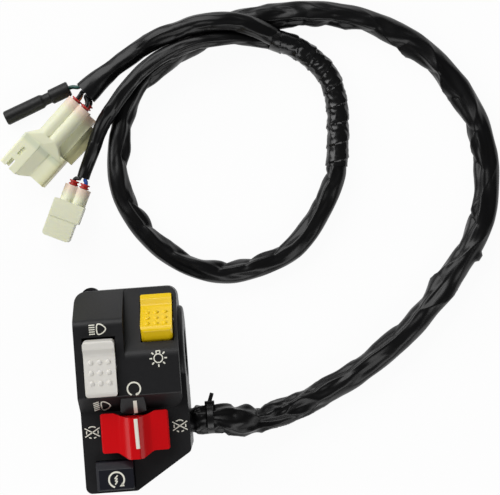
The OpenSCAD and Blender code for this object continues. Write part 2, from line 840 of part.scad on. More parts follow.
// Rockers: a lip, a dip and a pad with raised dots, on a hub with a leg
pad_start_y = rocker_len / 2 - lip_len - dip_len;
pad_end_y = -rocker_len / 2 + 2;
pad_slope = atan2(rocker_high - rocker_dip, pad_start_y - pad_end_y);
function pad_height(y) = rocker_dip + (pad_start_y - y) * tan(pad_slope);

function rocker_profile() =
    let(end = rocker_len / 2)
    rounded(
        [
            [end, -rocker_under], [end, rocker_lip], [end - lip_len, rocker_lip],
            [pad_start_y, rocker_dip], [pad_end_y, rocker_high], [-end, rocker_high - 1],
            [-end, -rocker_under]
        ],
        [0.4, 0.9, 1.4, 2.4, 1.8, 1.2, 0.4]);

module leg_and_hub(half_hub) {
    translate([0, 0, -pivot_depth]) bar_x(hub_r, -half_hub, half_hub);
    slab(leg_half, leg_t / 2, -tip_level, -pivot_depth);
    translate([0, 0, -tip_level]) bar_x(tip_d / 2, -leg_half, leg_half);
}

// Turns a rocker about its pivot
module rocked(angle) {
    translate([0, 0, -pivot_depth]) rotate([angle, 0, 0]) translate([0, 0, pivot_depth]) children();
}

module rocker_body() {
    half_x = rocker_w / 2;
    half_y = rocker_len / 2;
    corners = [[-half_x, -half_y], [half_x, -half_y], [half_x, half_y], [-half_x, half_y]];
    intersection() {
        along_x(rocker_profile(), -half_x - past, half_x + past);
        translate([0, 0, -rocker_under - past]) linear_extrude(rocker_under + rocker_high + 2 * past)
            polygon(rounded(corners, [for (place = corners) rocker_corner_r]));
    }
}

module rocker(angle, dots_y) {
    rocked(angle) difference() {
        union() {
            rocker_body();
            leg_and_hub(rocker_w / 2);
            for (row = dot_rows, column = dot_rows)
                let(y = dots_y + row * dot_pitch_y)
                translate([column * dot_pitch_x, y, pad_height(y) - dot_sink]) sphere(d = dot_d);
        }
        translate([0, 0, -pivot_depth]) bar_x(pin_d / 2 + pivot_fit, -rocker_w, rocker_w);
    }
}

module pivot_pin(open_side) {
    length = 2 * well_half + pin_seat + well_wall - 2 * contact_gap;
    translate([open_side * (well_wall - pin_seat) / 2, 0, -pivot_depth])
        bar_x(pin_d / 2, -length / 2, length / 2);
}

// Slide of a carriage when its rocker turns, as the coupling has it
function carriage_shift(angle) = leg_len * angle * PI / 180;

module carried(angle) {
    translate([0, carriage_shift(angle), 0]) children();
}

module carriage(angle) {
    carried(angle) difference() {
        slab(carriage_half, carriage_run, -carriage_low, -carriage_top);
        slab(slot_half, tip_d / 2 + tip_gap, -carriage_low - past, past);
        translate([0, 0, -tip_level]) bar_x(ball_d / 2 + detent_fit, detent_bore_x, well_half);
    }
}

module moving_contact(angle) {
    half_x = 5;
    half_y = 1.6;
    carried(angle) slab(half_x, half_y, -carriage_low - moving_t, -carriage_low);
}

module detent_ball(angle) {
    carried(angle) translate([ball_x, 0, -tip_level]) sphere(d = ball_d);
}

module detent_spring(angle) {
    length = ball_x - ball_d / 2 - detent_bore_x - contact_gap * 2;
    carried(angle) translate([detent_bore_x + contact_gap, 0, -tip_level]) rotate([0, 90, 0])
        coil_spring(length, ball_d - 0.2, detent_wire, detent_turns);
}

module at_rivets() {
    for (x = [-rivet_x, rivet_x], y = [-rivet_y, rivet_y]) translate([x, y, 0]) children();
}

module contact_board() {
    difference() {
        slab(well_half - board_gap, board_len / 2, -board_low, -board_top);
        at_rivets() translate([0, 0, -board_low - past])
            cylinder(d = rivet_d + 2 * press_fit, h = board_t + 2 * past);
        at_board_screws() translate([0, 0, -board_low - past])
            cylinder(d = board_screw_d + 2 * press_fit, h = board_t + 2 * past);
    }
}

module fixed_contacts() {
    at_rivets() {
        translate([0, 0, -board_low]) cylinder(d = rivet_d, h = board_t);
        translate([0, 0, -board_low - rivet_head_t]) cylinder(d = rivet_head_d, h = rivet_head_t);
    }
}

// Rest positions: the dimmer is pressed at its lower end, the light at its upper end
dimmer_rest = rocker_throw;
light_rest = -rocker_throw;
stop_rest = 0;

module dimmer_rocker() color("#dedbd2") at_dimmer() rocker(dimmer_rest, dimmer_dots_y);
module dimmer_pivot_pin() color("#b5b8bb") at_dimmer() pivot_pin(1);
module dimmer_carriage() color("#e8e4d8") at_dimmer() carriage(dimmer_rest);
module dimmer_moving_contact() color("#c58a4a") at_dimmer() moving_contact(dimmer_rest);
module dimmer_contact_board() color("#6b4a2a") at_dimmer() contact_board();
module dimmer_fixed_contacts() color("#c9a24a") at_dimmer() fixed_contacts();
module dimmer_detent_ball() color("#c8cbce") at_dimmer() detent_ball(dimmer_rest);
module dimmer_detent_spring() color("#a8abae") at_dimmer() detent_spring(dimmer_rest);

module light_rocker() color("#f2c81e") at_light() rocker(light_rest, light_dots_y);
module light_pivot_pin() color("#b5b8bb") at_light() pivot_pin(-1);
module light_carriage() color("#e8e4d8") at_light() carriage(light_rest);
module light_moving_contact() color("#c58a4a") at_light() moving_contact(light_rest);
module light_contact_board() color("#6b4a2a") at_light() contact_board();
module light_fixed_contacts() color("#c9a24a") at_light() fixed_contacts();
module light_detent_ball() color("#c8cbce") at_light() detent_ball(light_rest);
module light_detent_spring() color("#a8abae") at_light() detent_spring(light_rest);

// Stop knob: two wings and a ridge, on a neck through the deck
function knob_half_profile() = [
    [knob_w / 2, knob_lift], [knob_w / 2, knob_tip_rise - 0.5], [knob_w / 2 - 0.6, knob_tip_rise],
    [ridge_foot + 0.8, knob_wing_rise - 0.1], [ridge_foot, knob_wing_rise + 0.3],
    [(ridge_foot + ridge_crest) / 2, (knob_wing_rise + knob_crest_rise) / 2 - 0.5],
    [ridge_crest + 0.2, knob_crest_rise - 0.5], [ridge_crest - 0.4, knob_crest_rise]
];

function mirrored(points) = [for (i = [len(points) - 1:-1:0]) [-points[i][0], points[i][1]]];

function knob_plan() =
    let(top = knob_len / 2, low = -knob_len / 2)
    rounded(
        [
            [-knob_w / 2, top], [-knob_w / 2, low], [-ridge_foot - 1.6, low],
            [-ridge_crest - 1.2, low - ridge_over], [ridge_crest + 1.2, low - ridge_over],
            [ridge_foot + 1.6, low], [knob_w / 2, low], [knob_w / 2, top]
        ],
        [1, 1, 2, 0.8, 0.8, 2, 1, 1]);

module stop_knob() color("#c4000c") {
    translate([stop_x, stop_y, deck_z]) difference() {
        intersection() {
            along_y(concat(knob_half_profile(), mirrored(knob_half_profile())), -knob_len, knob_len);
            linear_extrude(knob_crest_rise + past) polygon(knob_plan());
        }
        translate([0, notch_y - stop_y, 0]) cylinder(r = notch_r, h = knob_crest_rise + past, $fn = 96);
    }
    at_stop() rocked(stop_rest) difference() {
        union() {
            slab(rocker_w / 2, knob_neck_half, -pivot_depth, knob_lift + joint);
            leg_and_hub(rocker_w / 2);
        }
        translate([0, 0, -pivot_depth]) bar_x(pin_d / 2 + pivot_fit, -rocker_w, rocker_w);
    }
}

module stop_pivot_pin() color("#b5b8bb") at_stop() pivot_pin(1);
module stop_carriage() color("#e8e4d8") at_stop() carriage(stop_rest);
module stop_moving_contact() color("#c58a4a") at_stop() moving_contact(stop_rest);
module stop_contact_board() color("#6b4a2a") at_stop() contact_board();
module stop_fixed_contacts() color("#c9a24a") at_stop() fixed_contacts();
module stop_detent_ball() color("#c8cbce") at_stop() detent_ball(stop_rest);
module stop_detent_spring() color("#a8abae") at_stop() detent_spring(stop_rest);

// Start button: a capped plunger with two retaining flanges and a spring pocket
module start_button() color("#15181f") at_start() difference() {
    chamfer_y = 3.2;
    chamfer_z = 3;
    half = start_len / 2;
    half_x = start_w / 2;
    union() {
        intersection() {
            along_x(
                rounded(
                    [
                        [-half, -start_body_low], [half, -start_body_low], [half, start_rise - chamfer_z],
                        [half - chamfer_y, start_rise], [-half, start_rise]
                    ],
                    [0.3, 0.3, 0.8, 0.8, 0.8]),
                -half_x - past, half_x + past);
            along_y(
                [
                    [-half_x, -start_body_low - past], [half_x, -start_body_low - past],
                    [half_x, start_rise + past], [-half_x + start_side_chamfer + past, start_rise + past],
                    [-half_x, start_rise - start_side_chamfer]
                ],
                -half - past, half + past);
        }
        slab(start_w / 2 + start_flange_over, start_flange_half,
            -wall - start_rest_gap - start_flange_t, -wall - start_rest_gap);
    }
    translate([0, 0, -start_body_low - past])
        cylinder(r = start_pocket_r, h = start_body_low + past - start_pocket_top);
}

module start_return_spring() color("#b0b3b6") at_start() translate([0, 0, -start_board_top])
    coil_spring(start_board_top - start_pocket_top - contact_gap, return_d, return_wire, return_turns);

module start_contact_bridge() color("#c58a4a") at_start() difference() {
    slab(start_bridge_half_x, start_bridge_half_y, -start_body_low - bridge_t, -start_body_low);
    translate([0, 0, -start_body_low - bridge_t - past]) cylinder(r = start_pocket_r, h = bridge_t + 2 * past);
}

module start_contact_board() color("#6b4a2a") at_start() difference() {
    translate([0, 0, -start_board_low]) linear_extrude(board_t) polygon([
        [-start_board_half_x, -start_board_half_y],
        [start_board_half_x - start_board_cut, -start_board_half_y],
        [start_board_half_x, -start_board_half_y + start_board_cut],
        [start_board_half_x, start_board_half_y], [-start_board_half_x, start_board_half_y]
    ]);
    for (side = [-1, 1]) translate([side * start_contact_x, 0, -start_board_low - past])
        cylinder(d = rivet_d + 2 * press_fit, h = board_t + 2 * past);
    at_start_screws() translate([0, 0, -start_board_low - past])
        cylinder(d = board_screw_d + 2 * press_fit, h = board_t + 2 * past);
}

module start_fixed_contacts() color("#c9a24a") at_start() for (side = [-1, 1])
    translate([side * start_contact_x, 0, 0]) {
        translate([0, 0, -start_board_low - rivet_head_t]) cylinder(d = rivet_head_d, h = rivet_head_t);
        translate([0, 0, -start_board_low]) cylinder(d = rivet_d, h = board_t + start_contact_rise);
    }

// Wires inside the housing, each from a board to the end of the loom
inner_wire_routes = [
    [[-9, -4.4, 18.2], [-8.5, -10, 17.2], [-8, -16, 13], [-4, -21, 8], [4, -24.5, 5], [9, -27.5, 1],
        [12, -28.9, -1.4], [13.8, -29, -1.7]],
    [[16.7, 3.2, 14.7], [17, -3, 15], [17, -10, 12.5], [16, -16, 8.5], [13.5, -21, 4.5], [11.5, -27.5, 2.2],
        [12.6, -28.8, 1.8], [13.8, -29, 1.7]],
    [[2.2, -27.8, 8.2], [6, -29, 7], [10, -31.2, 3.6], [12.2, -31.9, 2], [13.8, -32, 1.7]],
    [[start_x + start_contact_x, start_y + rivet_head_d / 3, 7.4], [-3, -46, 6], [0, -41, 3.5],
        [5, -35.5, 0.5], [10, -32.8, -1.2], [13.8, -32, -1.7]]
];

module inner_wires() color("#3a3a3c") for (route = inner_wire_routes) round_tube(route, wire_d, 8);

// Loom, tape and branches
module loom_sheath() color("#161617") {
    half = [for (i = [0:len(loom_route) - 1])
        (i < loop_from ? loom_d : i == loop_from ? (loom_d + loop_d) / 2 : loop_d) / 2];
    tube(loom_route, half, half, 12);
}

module branch_tape() color("#101011") {
    last = len(tape_route) - 1;
    half = loop_d / 2 + tape_extra;
    half_widths = [for (i = [0:last]) i == last ? tape_end_half_w : half];
    swell = (half + tape_end_half_h) / 2;
    half_heights = [for (i = [0:last]) i == last ? tape_end_half_h : i == last - 1 ? swell : half];
    tube(tape_route, half_widths, half_heights, 12);
}

module main_branch_sheath() color("#161617") round_tube(main_branch_route, main_branch_d, 12);
module small_branch_sheath() color("#161617") round_tube(small_branch_route, small_branch_d, 10);

module loom_tie() color("#0e0e0f") translate([tie_x, exit_y, exit_z]) {
    inner_r = loom_d / 2 + exit_fit;
    difference() {
        union() {
            bar_x(inner_r + tie_t, -tie_w / 2, tie_w / 2);
            translate([0, inner_r + tie_head[1] / 2 - joint, 0])
                slab(tie_head[0] / 2, tie_head[1] / 2, -tie_head[2] / 2, tie_head[2] / 2);
            translate([0, inner_r + tie_head[1] - 2 * joint, 0]) rotate([0, 0, -tie_lean])
                translate([0, tie_tail[1] / 2 - joint, 0])
                slab(tie_tail[2] / 2, tie_tail[1] / 2, -tie_tail[0] / 2, tie_tail[0] / 2);
        }
        bar_x(inner_r, -tie_w, tie_w);
    }
}

// Bullet connector: a stepped vinyl sleeve over a socket terminal
bullet_grip_len = 9.5;
bullet_neck_len = 3.2;
bullet_neck_d = 5.3;
bullet_cone_len = 1.4;
bullet_terminal_len = 14;
bullet_terminal_wall = 0.45;
bullet_inset = 2;

module at_bullet() {
    translate(bullet_at) rotate([0, 0, bullet_turn]) children();
}

module bullet_sleeve() color("#1a1a1b") at_bullet() rotate([0, 90, 0]) {
    r = bullet_d / 2;
    terminal_r = bullet_bore_d / 2 + bullet_terminal_wall + press_fit;
    wire_r = wire_d / 2 + press_fit;
    body_from = bullet_grip_len + bullet_neck_len + bullet_cone_len;
    terminal_from = bullet_len - bullet_inset - bullet_terminal_len;
    rotate_extrude() polygon([
        [wire_r, 0], [r - 0.2, 0], [r + 0.1, 0.5], [r + 0.1, bullet_grip_len - 0.3],
        [r - 0.2, bullet_grip_len], [bullet_neck_d / 2, bullet_grip_len + 0.4],
        [bullet_neck_d / 2, bullet_grip_len + bullet_neck_len],
        [r - 0.1, body_from], [r, bullet_len - 0.6], [r - 0.5, bullet_len], [terminal_r, bullet_len],
        [terminal_r, terminal_from], [wire_r, terminal_from]
    ]);
}

module bullet_terminal() color("#c9a24a") at_bullet() rotate([0, 90, 0]) {
    bore_r = bullet_bore_d / 2;
    from = bullet_len - bullet_inset - bullet_terminal_len;
    translate([0, 0, from]) difference() {
        cylinder(r = bore_r + bullet_terminal_wall, h = bullet_terminal_len);
        translate([0, 0, 1]) cylinder(r = bore_r, h = bullet_terminal_len);
    }
}

// A ribbed wire seal along x: out of its bore by the length out, into it by the length in
seal_in = 6;
rib_t = 0.7;

module wire_seal(out) {
    r = seal_d / 2;
    core = r - 0.6;
    rib_pitch = 1.5;
    difference() {
        union() {
            bar_x(core, -out, seal_in);
            for (x = [-out:rib_pitch:seal_in - rib_t]) bar_x(r, x, x + rib_t);
        }
        bar_x(wire_d / 2 + press_fit, -out - past, seal_in + past);
    }
}

// Main plug: two rows of tubes that swell into a shroud, high at one side, with a rail at the other
main_tube_r = seal_d / 2 + plug_wall;
main_floor_gap = 0.1;
main_row_gap = 6.5;
main_rows = [main_tube_r + main_floor_gap, main_tube_r + main_floor_gap + main_row_gap];
main_body_len = 23.4;
main_shoulder = 2.6;
main_shroud_len = 43;
main_short_len = 39.5;
mouth_lip = 0.4;
main_low_from = 0.7;
main_low_z = 0.6;
main_low_half = 10.2;
main_rail_half = 15.4;
main_rail_end_half = 14.9;
main_shroud_left = 9.7;
main_shroud_right = 12.6;
main_low_h = 11.8;
main_fall_from = -0.5;
main_fall_to = 5;
main_floor_x = 25.5;
rail_from = 4;
rail_run = 8.2;
rail_low = 12.9;
rail_z = 1.2;
rail_t = 3;
window_x = 33.4;
window_y = -5.1;
window_half = [2.1, 0.9];
window_depth = 0.8;
slot_y = -5.4;
slot_len = 4.4;
mouth_slot_half = 1.2;
seal_bore_len = 8;
terminal_r = 1.6;
seal_out = 1.2;
lower_seal_out = 3;

module at_main_plug() {
    translate(main_plug_at) rotate([0, 0, main_plug_turn]) children();
}

// The seal of the lower way at the rail side stands out further than the others
function main_seal_out(row, side) = row == 0 && side == 1 ? lower_seal_out : seal_out;

module at_main_ways() {
    for (row = [0, 1], side = [-1, 1])
        translate([0, side * way_pitch / 2, main_rows[row]]) let($out = main_seal_out(row, side)) children();
}

// Section of the main shroud across its axis, drawn in by t
function main_section(t) =
    let(edge_r = max(1.2 - t, 0.2), bend_r = 2)
    rounded(
        [
            [-main_shroud_left + t, t], [main_shroud_right - t, t], [main_shroud_right - t, main_low_h - t],
            [main_fall_to - t / 4, main_low_h - t], [main_fall_from - t / 4, main_plug_h - t],
            [-main_shroud_left + t, main_plug_h - t]
        ],
        [edge_r, edge_r, edge_r, bend_r, bend_r, edge_r]);

// The swell from the tubes' ends to the full section of the shroud
module main_swell() {
    from = main_body_len - main_shoulder;
    slice = 0.2;
    hull() {
        for (side = [-1, 1], z = main_rows)
            translate([0, side * way_pitch / 2, z]) bar_x(main_tube_r, from - slice, from, $fn = 32);
        along_x(main_section(0), main_body_len + main_shoulder, main_body_len + main_shoulder + slice);
    }
}

module main_shroud() {
    intersection() {
        along_x(main_section(0), main_body_len, main_shroud_len + past);
        translate([0, 0, -past]) linear_extrude(main_plug_h + 2 * past) polygon(rounded(
            [
                [main_body_len + main_shoulder, -main_shroud_left - past],
                [main_shroud_len, -main_shroud_left - past], [main_shroud_len + mouth_lip, main_fall_from],
                [main_short_len, main_fall_to - mouth_lip / 2], [main_short_len, main_shroud_right + past],
                [main_body_len, main_shroud_right + past], [main_body_len, main_low_half]
            ],
            [0, 0, 0.8, 3, 0, 0, 0]));
    }
}

// Lower body beside the tubes, and the rail along it
module main_lower_body() {
    translate([0, 0, main_low_z]) linear_extrude(main_rows[0] + main_tube_r - main_low_z) polygon([
        [main_low_from, -way_pitch], [main_low_from, main_low_half],
        [main_body_len + joint, main_low_half], [main_body_len + joint, -way_pitch]
    ]);
    translate([0, 0, rail_z]) linear_extrude(rail_t) polygon([
        [rail_from, main_low_half - joint], [rail_from, rail_low], [rail_from + rail_run, main_rail_half],
        [main_body_len, main_rail_end_half], [main_body_len, main_low_half - joint]
    ]);
}

module main_plug_housing() color("#e3e4c8") at_main_plug() difference() {
    union() {
        at_main_ways() bar_x(main_tube_r, 0, main_body_len - main_shoulder);
        translate([main_body_len / 2 - main_shoulder, 0, 0])
            slab(main_body_len / 2 - main_shoulder, way_pitch * 0.75, main_rows[0], main_rows[1]);
        main_lower_body();
        main_swell();
        main_shroud();
    }
    intersection() {
        along_x(main_section(plug_wall), main_floor_x, main_shroud_len + 2 * past);
        translate([0, 0, -past]) linear_extrude(main_plug_h + 2 * past) polygon([
            [main_floor_x, main_shroud_right], [main_floor_x, -main_shroud_left + 3 * plug_wall],
            [main_floor_x + main_shoulder, -main_shroud_left], [main_shroud_len + 2 * past, -main_shroud_left],
            [main_shroud_len + 2 * past, main_shroud_right]
        ]);
    }
    at_main_ways() {
        bar_x(seal_d / 2 + press_fit, -past, seal_bore_len);
        bar_x(terminal_r, -past, main_floor_x + past);
    }
    latch_window();
    mouth_slot();
}

// Latch pocket in the upper wall of the main shroud, and the slot through both walls at its mouth
module latch_window() {
    translate([window_x, window_y, 0])
        slab(window_half[0], window_half[1], main_plug_h - window_depth, main_plug_h + past);
}

module mouth_slot() {
    translate([main_shroud_len, slot_y, 0]) slab(slot_len, mouth_slot_half, -past, main_plug_h + past);
}

// A blade terminal with its crimp barrel, along x
module blade_terminal(seat, floor_x, blade) {
    crimp_r = 1.25;
    difference() {
        bar_x(crimp_r, seat, floor_x - 1);
        bar_x(0.8, seat - past, seat + 3);
    }
    translate([(floor_x + blade) / 2 - 1.5, 0, 0]) slab((blade - floor_x) / 2 + 1.5, 0.9, -0.4, 0.4);
}

module main_plug_terminals() color("#b9b7a8") at_main_plug() at_main_ways()
    blade_terminal(seal_bore_len + 0.6, main_floor_x, main_floor_x + 9);

module main_plug_seals() color("#c4281f") at_main_plug() at_main_ways() wire_seal($out);

// Small plug: a two-way body and an offset shroud
small_body_len = 16.3;
small_shroud_from = 7.8;
small_shroud_len = 25.7;
small_shroud_left = 4.9;
small_shroud_right = 8.2;
small_shroud_step = 0.4;
small_floor_x = 14;
small_seal_out = 2.4;

module at_small_plug() {
    translate(small_plug_at) rotate([0, 0, small_plug_turn]) children();
}

module at_small_ways() {
    for (side = [-1, 1]) translate([0, side * way_pitch / 2, small_plug_h / 2]) children();
}

module small_plug_housing() color("#e3e4c8") at_small_plug() difference() {
    tube_r = seal_d / 2 + plug_wall;
    body_half = way_pitch / 2 + tube_r;
    inset = small_shroud_step + plug_wall;
    union() {
        at_small_ways() bar_x(tube_r, 0, small_body_len);
        linear_extrude(small_plug_h) polygon(rounded(
            [
                [small_shroud_from, -small_shroud_right], [small_body_len, -small_shroud_right],
                [small_body_len, body_half], [small_shroud_from, body_half]
            ],
            [0.5, 0, 0.4, 0.5]));
        translate([0, 0, small_shroud_step])
            linear_extrude(small_plug_h - 2 * small_shroud_step) polygon(rounded(
            [
                [small_shroud_from + past, -small_shroud_right], [small_shroud_len, -small_shroud_right],
                [small_shroud_len, small_shroud_left], [small_shroud_from + past, small_shroud_left]
            ],
            [0, 1.6, 1.6, 0]));
    }
    translate([0, 0, inset]) linear_extrude(small_plug_h - 2 * inset) polygon([
        [small_floor_x, -small_shroud_right + plug_wall],
        [small_shroud_len + past, -small_shroud_right + plug_wall],
        [small_shroud_len + past, small_shroud_left - plug_wall],
        [small_floor_x, small_shroud_left - plug_wall]
    ]);
    at_small_ways() {
        bar_x(seal_d / 2 + press_fit, -past, seal_bore_len);
        bar_x(terminal_r, -past, small_floor_x + past);
    }
}

module small_plug_terminals() color("#b9b7a8") at_small_plug() at_small_ways()
    blade_terminal(seal_bore_len + 0.6, small_floor_x, small_floor_x + 5);

module small_plug_seals() color("#c4281f") at_small_plug() at_small_ways() wire_seal(small_seal_out);

// A point in a plug's own frame, and the wires that run from a sheath's end into it
function turned(p, turn) = [p[0] * cos(turn) - p[1] * sin(turn), p[0] * sin(turn) + p[1] * cos(turn), p[2]];
function plug_point(at, turn, p) = at + turned(p, turn);
wire_depth = seal_in + 2.4;

// One wire: from a sheath's end, square to it, then straight through its seal
module plug_wire(start, leave, at, turn, way, out) {
    outer = plug_point(at, turn, [-out - 1, way[0], way[1]]);
    inner = plug_point(at, turn, [wire_depth, way[0], way[1]]);
    round_tube([start, start + leave * 0.6, outer, inner], wire_d, 8);
}

// Ends of the two sheaths, with the directions out of them and across their end faces
function route_end(route) = route[len(route) - 1];
function route_leave(route) = unit(route_end(route) - route[len(route) - 2]);
main_branch_end = route_end(main_branch_route);
small_branch_end = route_end(small_branch_route);
main_leave = route_leave(main_branch_route);
main_across = unit(cross(main_leave, [0, 0, 1]));
small_leave = route_leave(small_branch_route);
small_across = unit(cross(small_leave, [0, 0, 1]));
wire_spread = 1.3;
sheath_clear = 0.3;

module main_plug_wires() color("#1f1f20") for (row = [0, 1], side = [-1, 1])
    plug_wire(
        main_branch_end + main_leave * sheath_clear - main_across * side * wire_spread + [0, 0, row * 2.6 - 1],
        main_leave, main_plug_at, main_plug_turn, [side * way_pitch / 2, main_rows[row]],
        main_seal_out(row, side));

module small_plug_wires() color("#1c4fb0") for (side = [-1, 1])
    plug_wire(
        small_branch_end + small_leave * sheath_clear - small_across * side * wire_spread + [0, 0, 0.6],
        small_leave, small_plug_at, small_plug_turn, [side * way_pitch / 2, small_plug_h / 2], small_seal_out);

module bullet_wire() color("#1f5a50") {
    reach = 9;
    start = main_branch_end + main_leave * sheath_clear + main_across * 3.2 - [0, 0, 0.2];
    outer = bullet_at + turned([-1.2, 0, 0], bullet_turn);
    inner = bullet_at + turned([reach, 0, 0], bullet_turn);
    round_tube([start, start + main_leave * 1.2, outer, inner], wire_d, 8);
}

front_housing();
rear_housing();
housing_screws();
board_screws();
cable_clamp();
clamp_screws();
dimmer_rocker();
dimmer_pivot_pin();
dimmer_carriage();
dimmer_moving_contact();
dimmer_contact_board();
dimmer_fixed_contacts();
dimmer_detent_ball();
dimmer_detent_spring();
light_rocker();
light_pivot_pin();
light_carriage();
light_moving_contact();
light_contact_board();
light_fixed_contacts();
light_detent_ball();
light_detent_spring();
stop_knob();
stop_pivot_pin();
stop_carriage();
stop_moving_contact();
stop_contact_board();
stop_fixed_contacts();
stop_detent_ball();
stop_detent_spring();
start_button();
start_return_spring();
start_contact_bridge();
start_contact_board();
start_fixed_contacts();
inner_wires();
loom_sheath();
loom_tie();
branch_tape();
main_branch_sheath();
small_branch_sheath();
bullet_wire();
main_plug_wires();
small_plug_wires();
bullet_sleeve();
bullet_terminal();
main_plug_housing();
main_plug_terminals();
main_plug_seals();
small_plug_housing();
small_plug_terminals();
small_plug_seals();
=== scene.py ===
"""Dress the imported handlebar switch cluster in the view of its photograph.

The frame holds every rigid solid in its place. This script adds the camera, the creased
sheaths and their tape, rounded edges, printed signs, materials, the floor and the light.
Lengths in the tables below are millimetres, and `metres` turns them into metres.
"""

from __future__ import annotations

import json
import logging
import math
from dataclasses import dataclass, field, replace
from enum import Enum
from typing import Any, Callable, Sequence

import bmesh
import bpy
from bpy.types import ID, Material, Mesh, Node, NodeTree, Object
from mathutils import Matrix, Vector, noise
from mathutils.bvhtree import BVHTree

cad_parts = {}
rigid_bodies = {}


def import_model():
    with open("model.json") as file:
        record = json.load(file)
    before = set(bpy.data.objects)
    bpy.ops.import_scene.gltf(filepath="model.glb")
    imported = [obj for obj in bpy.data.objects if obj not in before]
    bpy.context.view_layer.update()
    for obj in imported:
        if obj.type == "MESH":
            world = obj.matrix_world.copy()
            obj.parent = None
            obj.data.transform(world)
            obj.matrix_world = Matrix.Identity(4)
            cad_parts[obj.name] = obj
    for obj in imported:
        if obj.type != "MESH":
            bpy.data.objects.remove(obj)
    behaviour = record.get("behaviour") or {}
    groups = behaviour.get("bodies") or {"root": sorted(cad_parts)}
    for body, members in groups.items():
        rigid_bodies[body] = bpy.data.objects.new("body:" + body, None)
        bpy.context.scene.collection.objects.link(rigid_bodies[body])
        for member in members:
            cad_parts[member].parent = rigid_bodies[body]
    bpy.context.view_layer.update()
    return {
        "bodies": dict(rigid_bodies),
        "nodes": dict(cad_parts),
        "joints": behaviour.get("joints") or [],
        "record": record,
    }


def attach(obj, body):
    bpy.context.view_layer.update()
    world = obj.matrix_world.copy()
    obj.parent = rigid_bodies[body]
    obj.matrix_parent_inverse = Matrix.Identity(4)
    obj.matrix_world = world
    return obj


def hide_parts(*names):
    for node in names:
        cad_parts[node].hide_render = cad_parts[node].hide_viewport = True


LOG = logging.getLogger("switch_cluster")
MM = 0.001
FLOOR_Z = -17.0
UP = Vector((0, 0, 1))

Point = tuple[float, float, float]
Flat = tuple[float, float]
Colour = tuple[int, int, int]
Key = str | int


class Body(str, Enum):
    """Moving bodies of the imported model."""

    HOUSING = "housing"
    DIMMER = "dimmer_rocker"
    LIGHT = "light_rocker"
    STOP = "stop_knob"
    START = "start_button"


class Axis(str, Enum):
    """Axes of a plug's own frame."""

    X = "X"
    Y = "Y"


def metres(points: Sequence[Point]) -> list[Vector]:
    """Turn millimetre points into vectors in metres."""
    return [Vector(point) * MM for point in points]


def linear(colour: Colour) -> tuple[float, float, float, float]:
    """Turn a screen colour of 0 to 255 into a linear shader colour.

    Args:
        colour: Red, green and blue as they look on a screen.

    Returns:
        Linear red, green, blue and an alpha of one.
    """
    parts = []
    for channel in colour:
        value = channel / 255.0
        parts.append(value / 12.92 if value <= 0.04045 else ((value + 0.055) / 1.055) ** 2.4)
    return (parts[0], parts[1], parts[2], 1.0)


LOOM_ROUTE = metres(
    [
        (14, -31, 0), (24, -31, 0), (36.5, -31, 0), (46, -33.2, -3.4), (57, -33.2, -8.6),
        (71, -29.5, -11.4), (98, -17.5, -11.4), (123.5, -0.5, -11.4), (147, 24, -11.4),
        (163.5, 48.5, -11.4), (168, 71, -11.4), (165.5, 94, -11.4), (155.5, 115, -11.4),
        (139.5, 133, -11.4), (117, 146, -11.4), (94.5, 151, -11.4), (67, 150.4, -11.4),
        (56, 148.6, -11.4), (43, 144, -11.4), (20.7, 133.2, -11.4), (7, 120.2, -11.8),
        (0.5, 101.5, -12.2), (-1.6, 87, -12.2), (0, 73, -12.2), (10.5, 54, -12.2),
        (26, 40.5, -12.2), (46, 34.5, -12.2), (72, 41, -12.2), (82.5, 49, -12.2),
        (90.6, 60.2, -12.2), (98, 75, -12.2), (99.4, 81.4, -12.2),
    ]
)
TAPE_ROUTE = metres(
    [
        (99.6, 82.4, -12.2), (100.5, 90, -12.1), (101.3, 109.5, -11.6), (98.4, 121.5, -11),
        (91.6, 130.2, -10.2), (83.8, 136.2, -9.5), (75.8, 139.5, -9),
    ]
)
MAIN_BRANCH_ROUTE = metres(
    [
        (74.2, 141.2, -5.2), (66, 145.6, -2.6), (56, 148.8, -0.9), (41, 149, -1),
        (31.3, 146.8, -2.2), (22.8, 144.6, -3.8), (12, 140, -9.5), (3, 134.6, -12),
        (-6, 128.6, -12.6), (-14, 122.1, -12.6),
    ]
)
SMALL_BRANCH_ROUTE = metres(
    [
        (74, 139.3, -13.2), (66, 140.8, -10.8), (56, 141.8, -4.6), (44, 141.2, -2.4),
        (36, 140, -2.1), (28, 137.6, -2.2), (20, 134, -2.4), (12, 128.4, -2.8),
        (3.2, 119.6, -3), (-2.5, 112.5, -5), (-7, 106.5, -7), (-12.6, 94.6, -9),
        (-15.8, 88.2, -11.6), (-17.9, 83.2, -12),
    ]
)
INNER_WIRE_ROUTES = [
    metres(
        [
            (-9, -4.4, 18.2), (-8.5, -10, 17.2), (-8, -16, 13), (-4, -21, 8), (4, -24.5, 5),
            (9, -27.5, 1), (12, -28.9, -1.4), (13.8, -29, -1.7),
        ]
    ),
    metres(
        [
            (16.7, 3.2, 14.7), (17, -3, 15), (17, -10, 12.5), (16, -16, 8.5), (13.5, -21, 4.5),
            (11.5, -27.5, 2.2), (12.6, -28.8, 1.8), (13.8, -29, 1.7),
        ]
    ),
    metres([(2.2, -27.8, 8.2), (6, -29, 7), (10, -31.2, 3.6), (12.2, -31.9, 2), (13.8, -32, 1.7)]),
    metres(
        [
            (-5.05, -49.98, 7.4), (-3, -46, 6), (0, -41, 3.5), (5, -35.5, 0.5), (10, -32.8, -1.2),
            (13.8, -32, -1.7),
        ]
    ),
]
TAPE_OVERLAP = 2.4


@dataclass(frozen=True)
class PlugPlace:
    """Where a plug lies: the middle of its wire end and its direction."""

    at: Point
    turn: float

    def point(self, local: Point) -> Vector:
        """Give a point of the plug, in millimetres, in the object's frame, in metres."""
        turned = Matrix.Rotation(math.radians(self.turn), 4, "Z") @ Vector(local)
        return (Vector(self.at) + turned) * MM


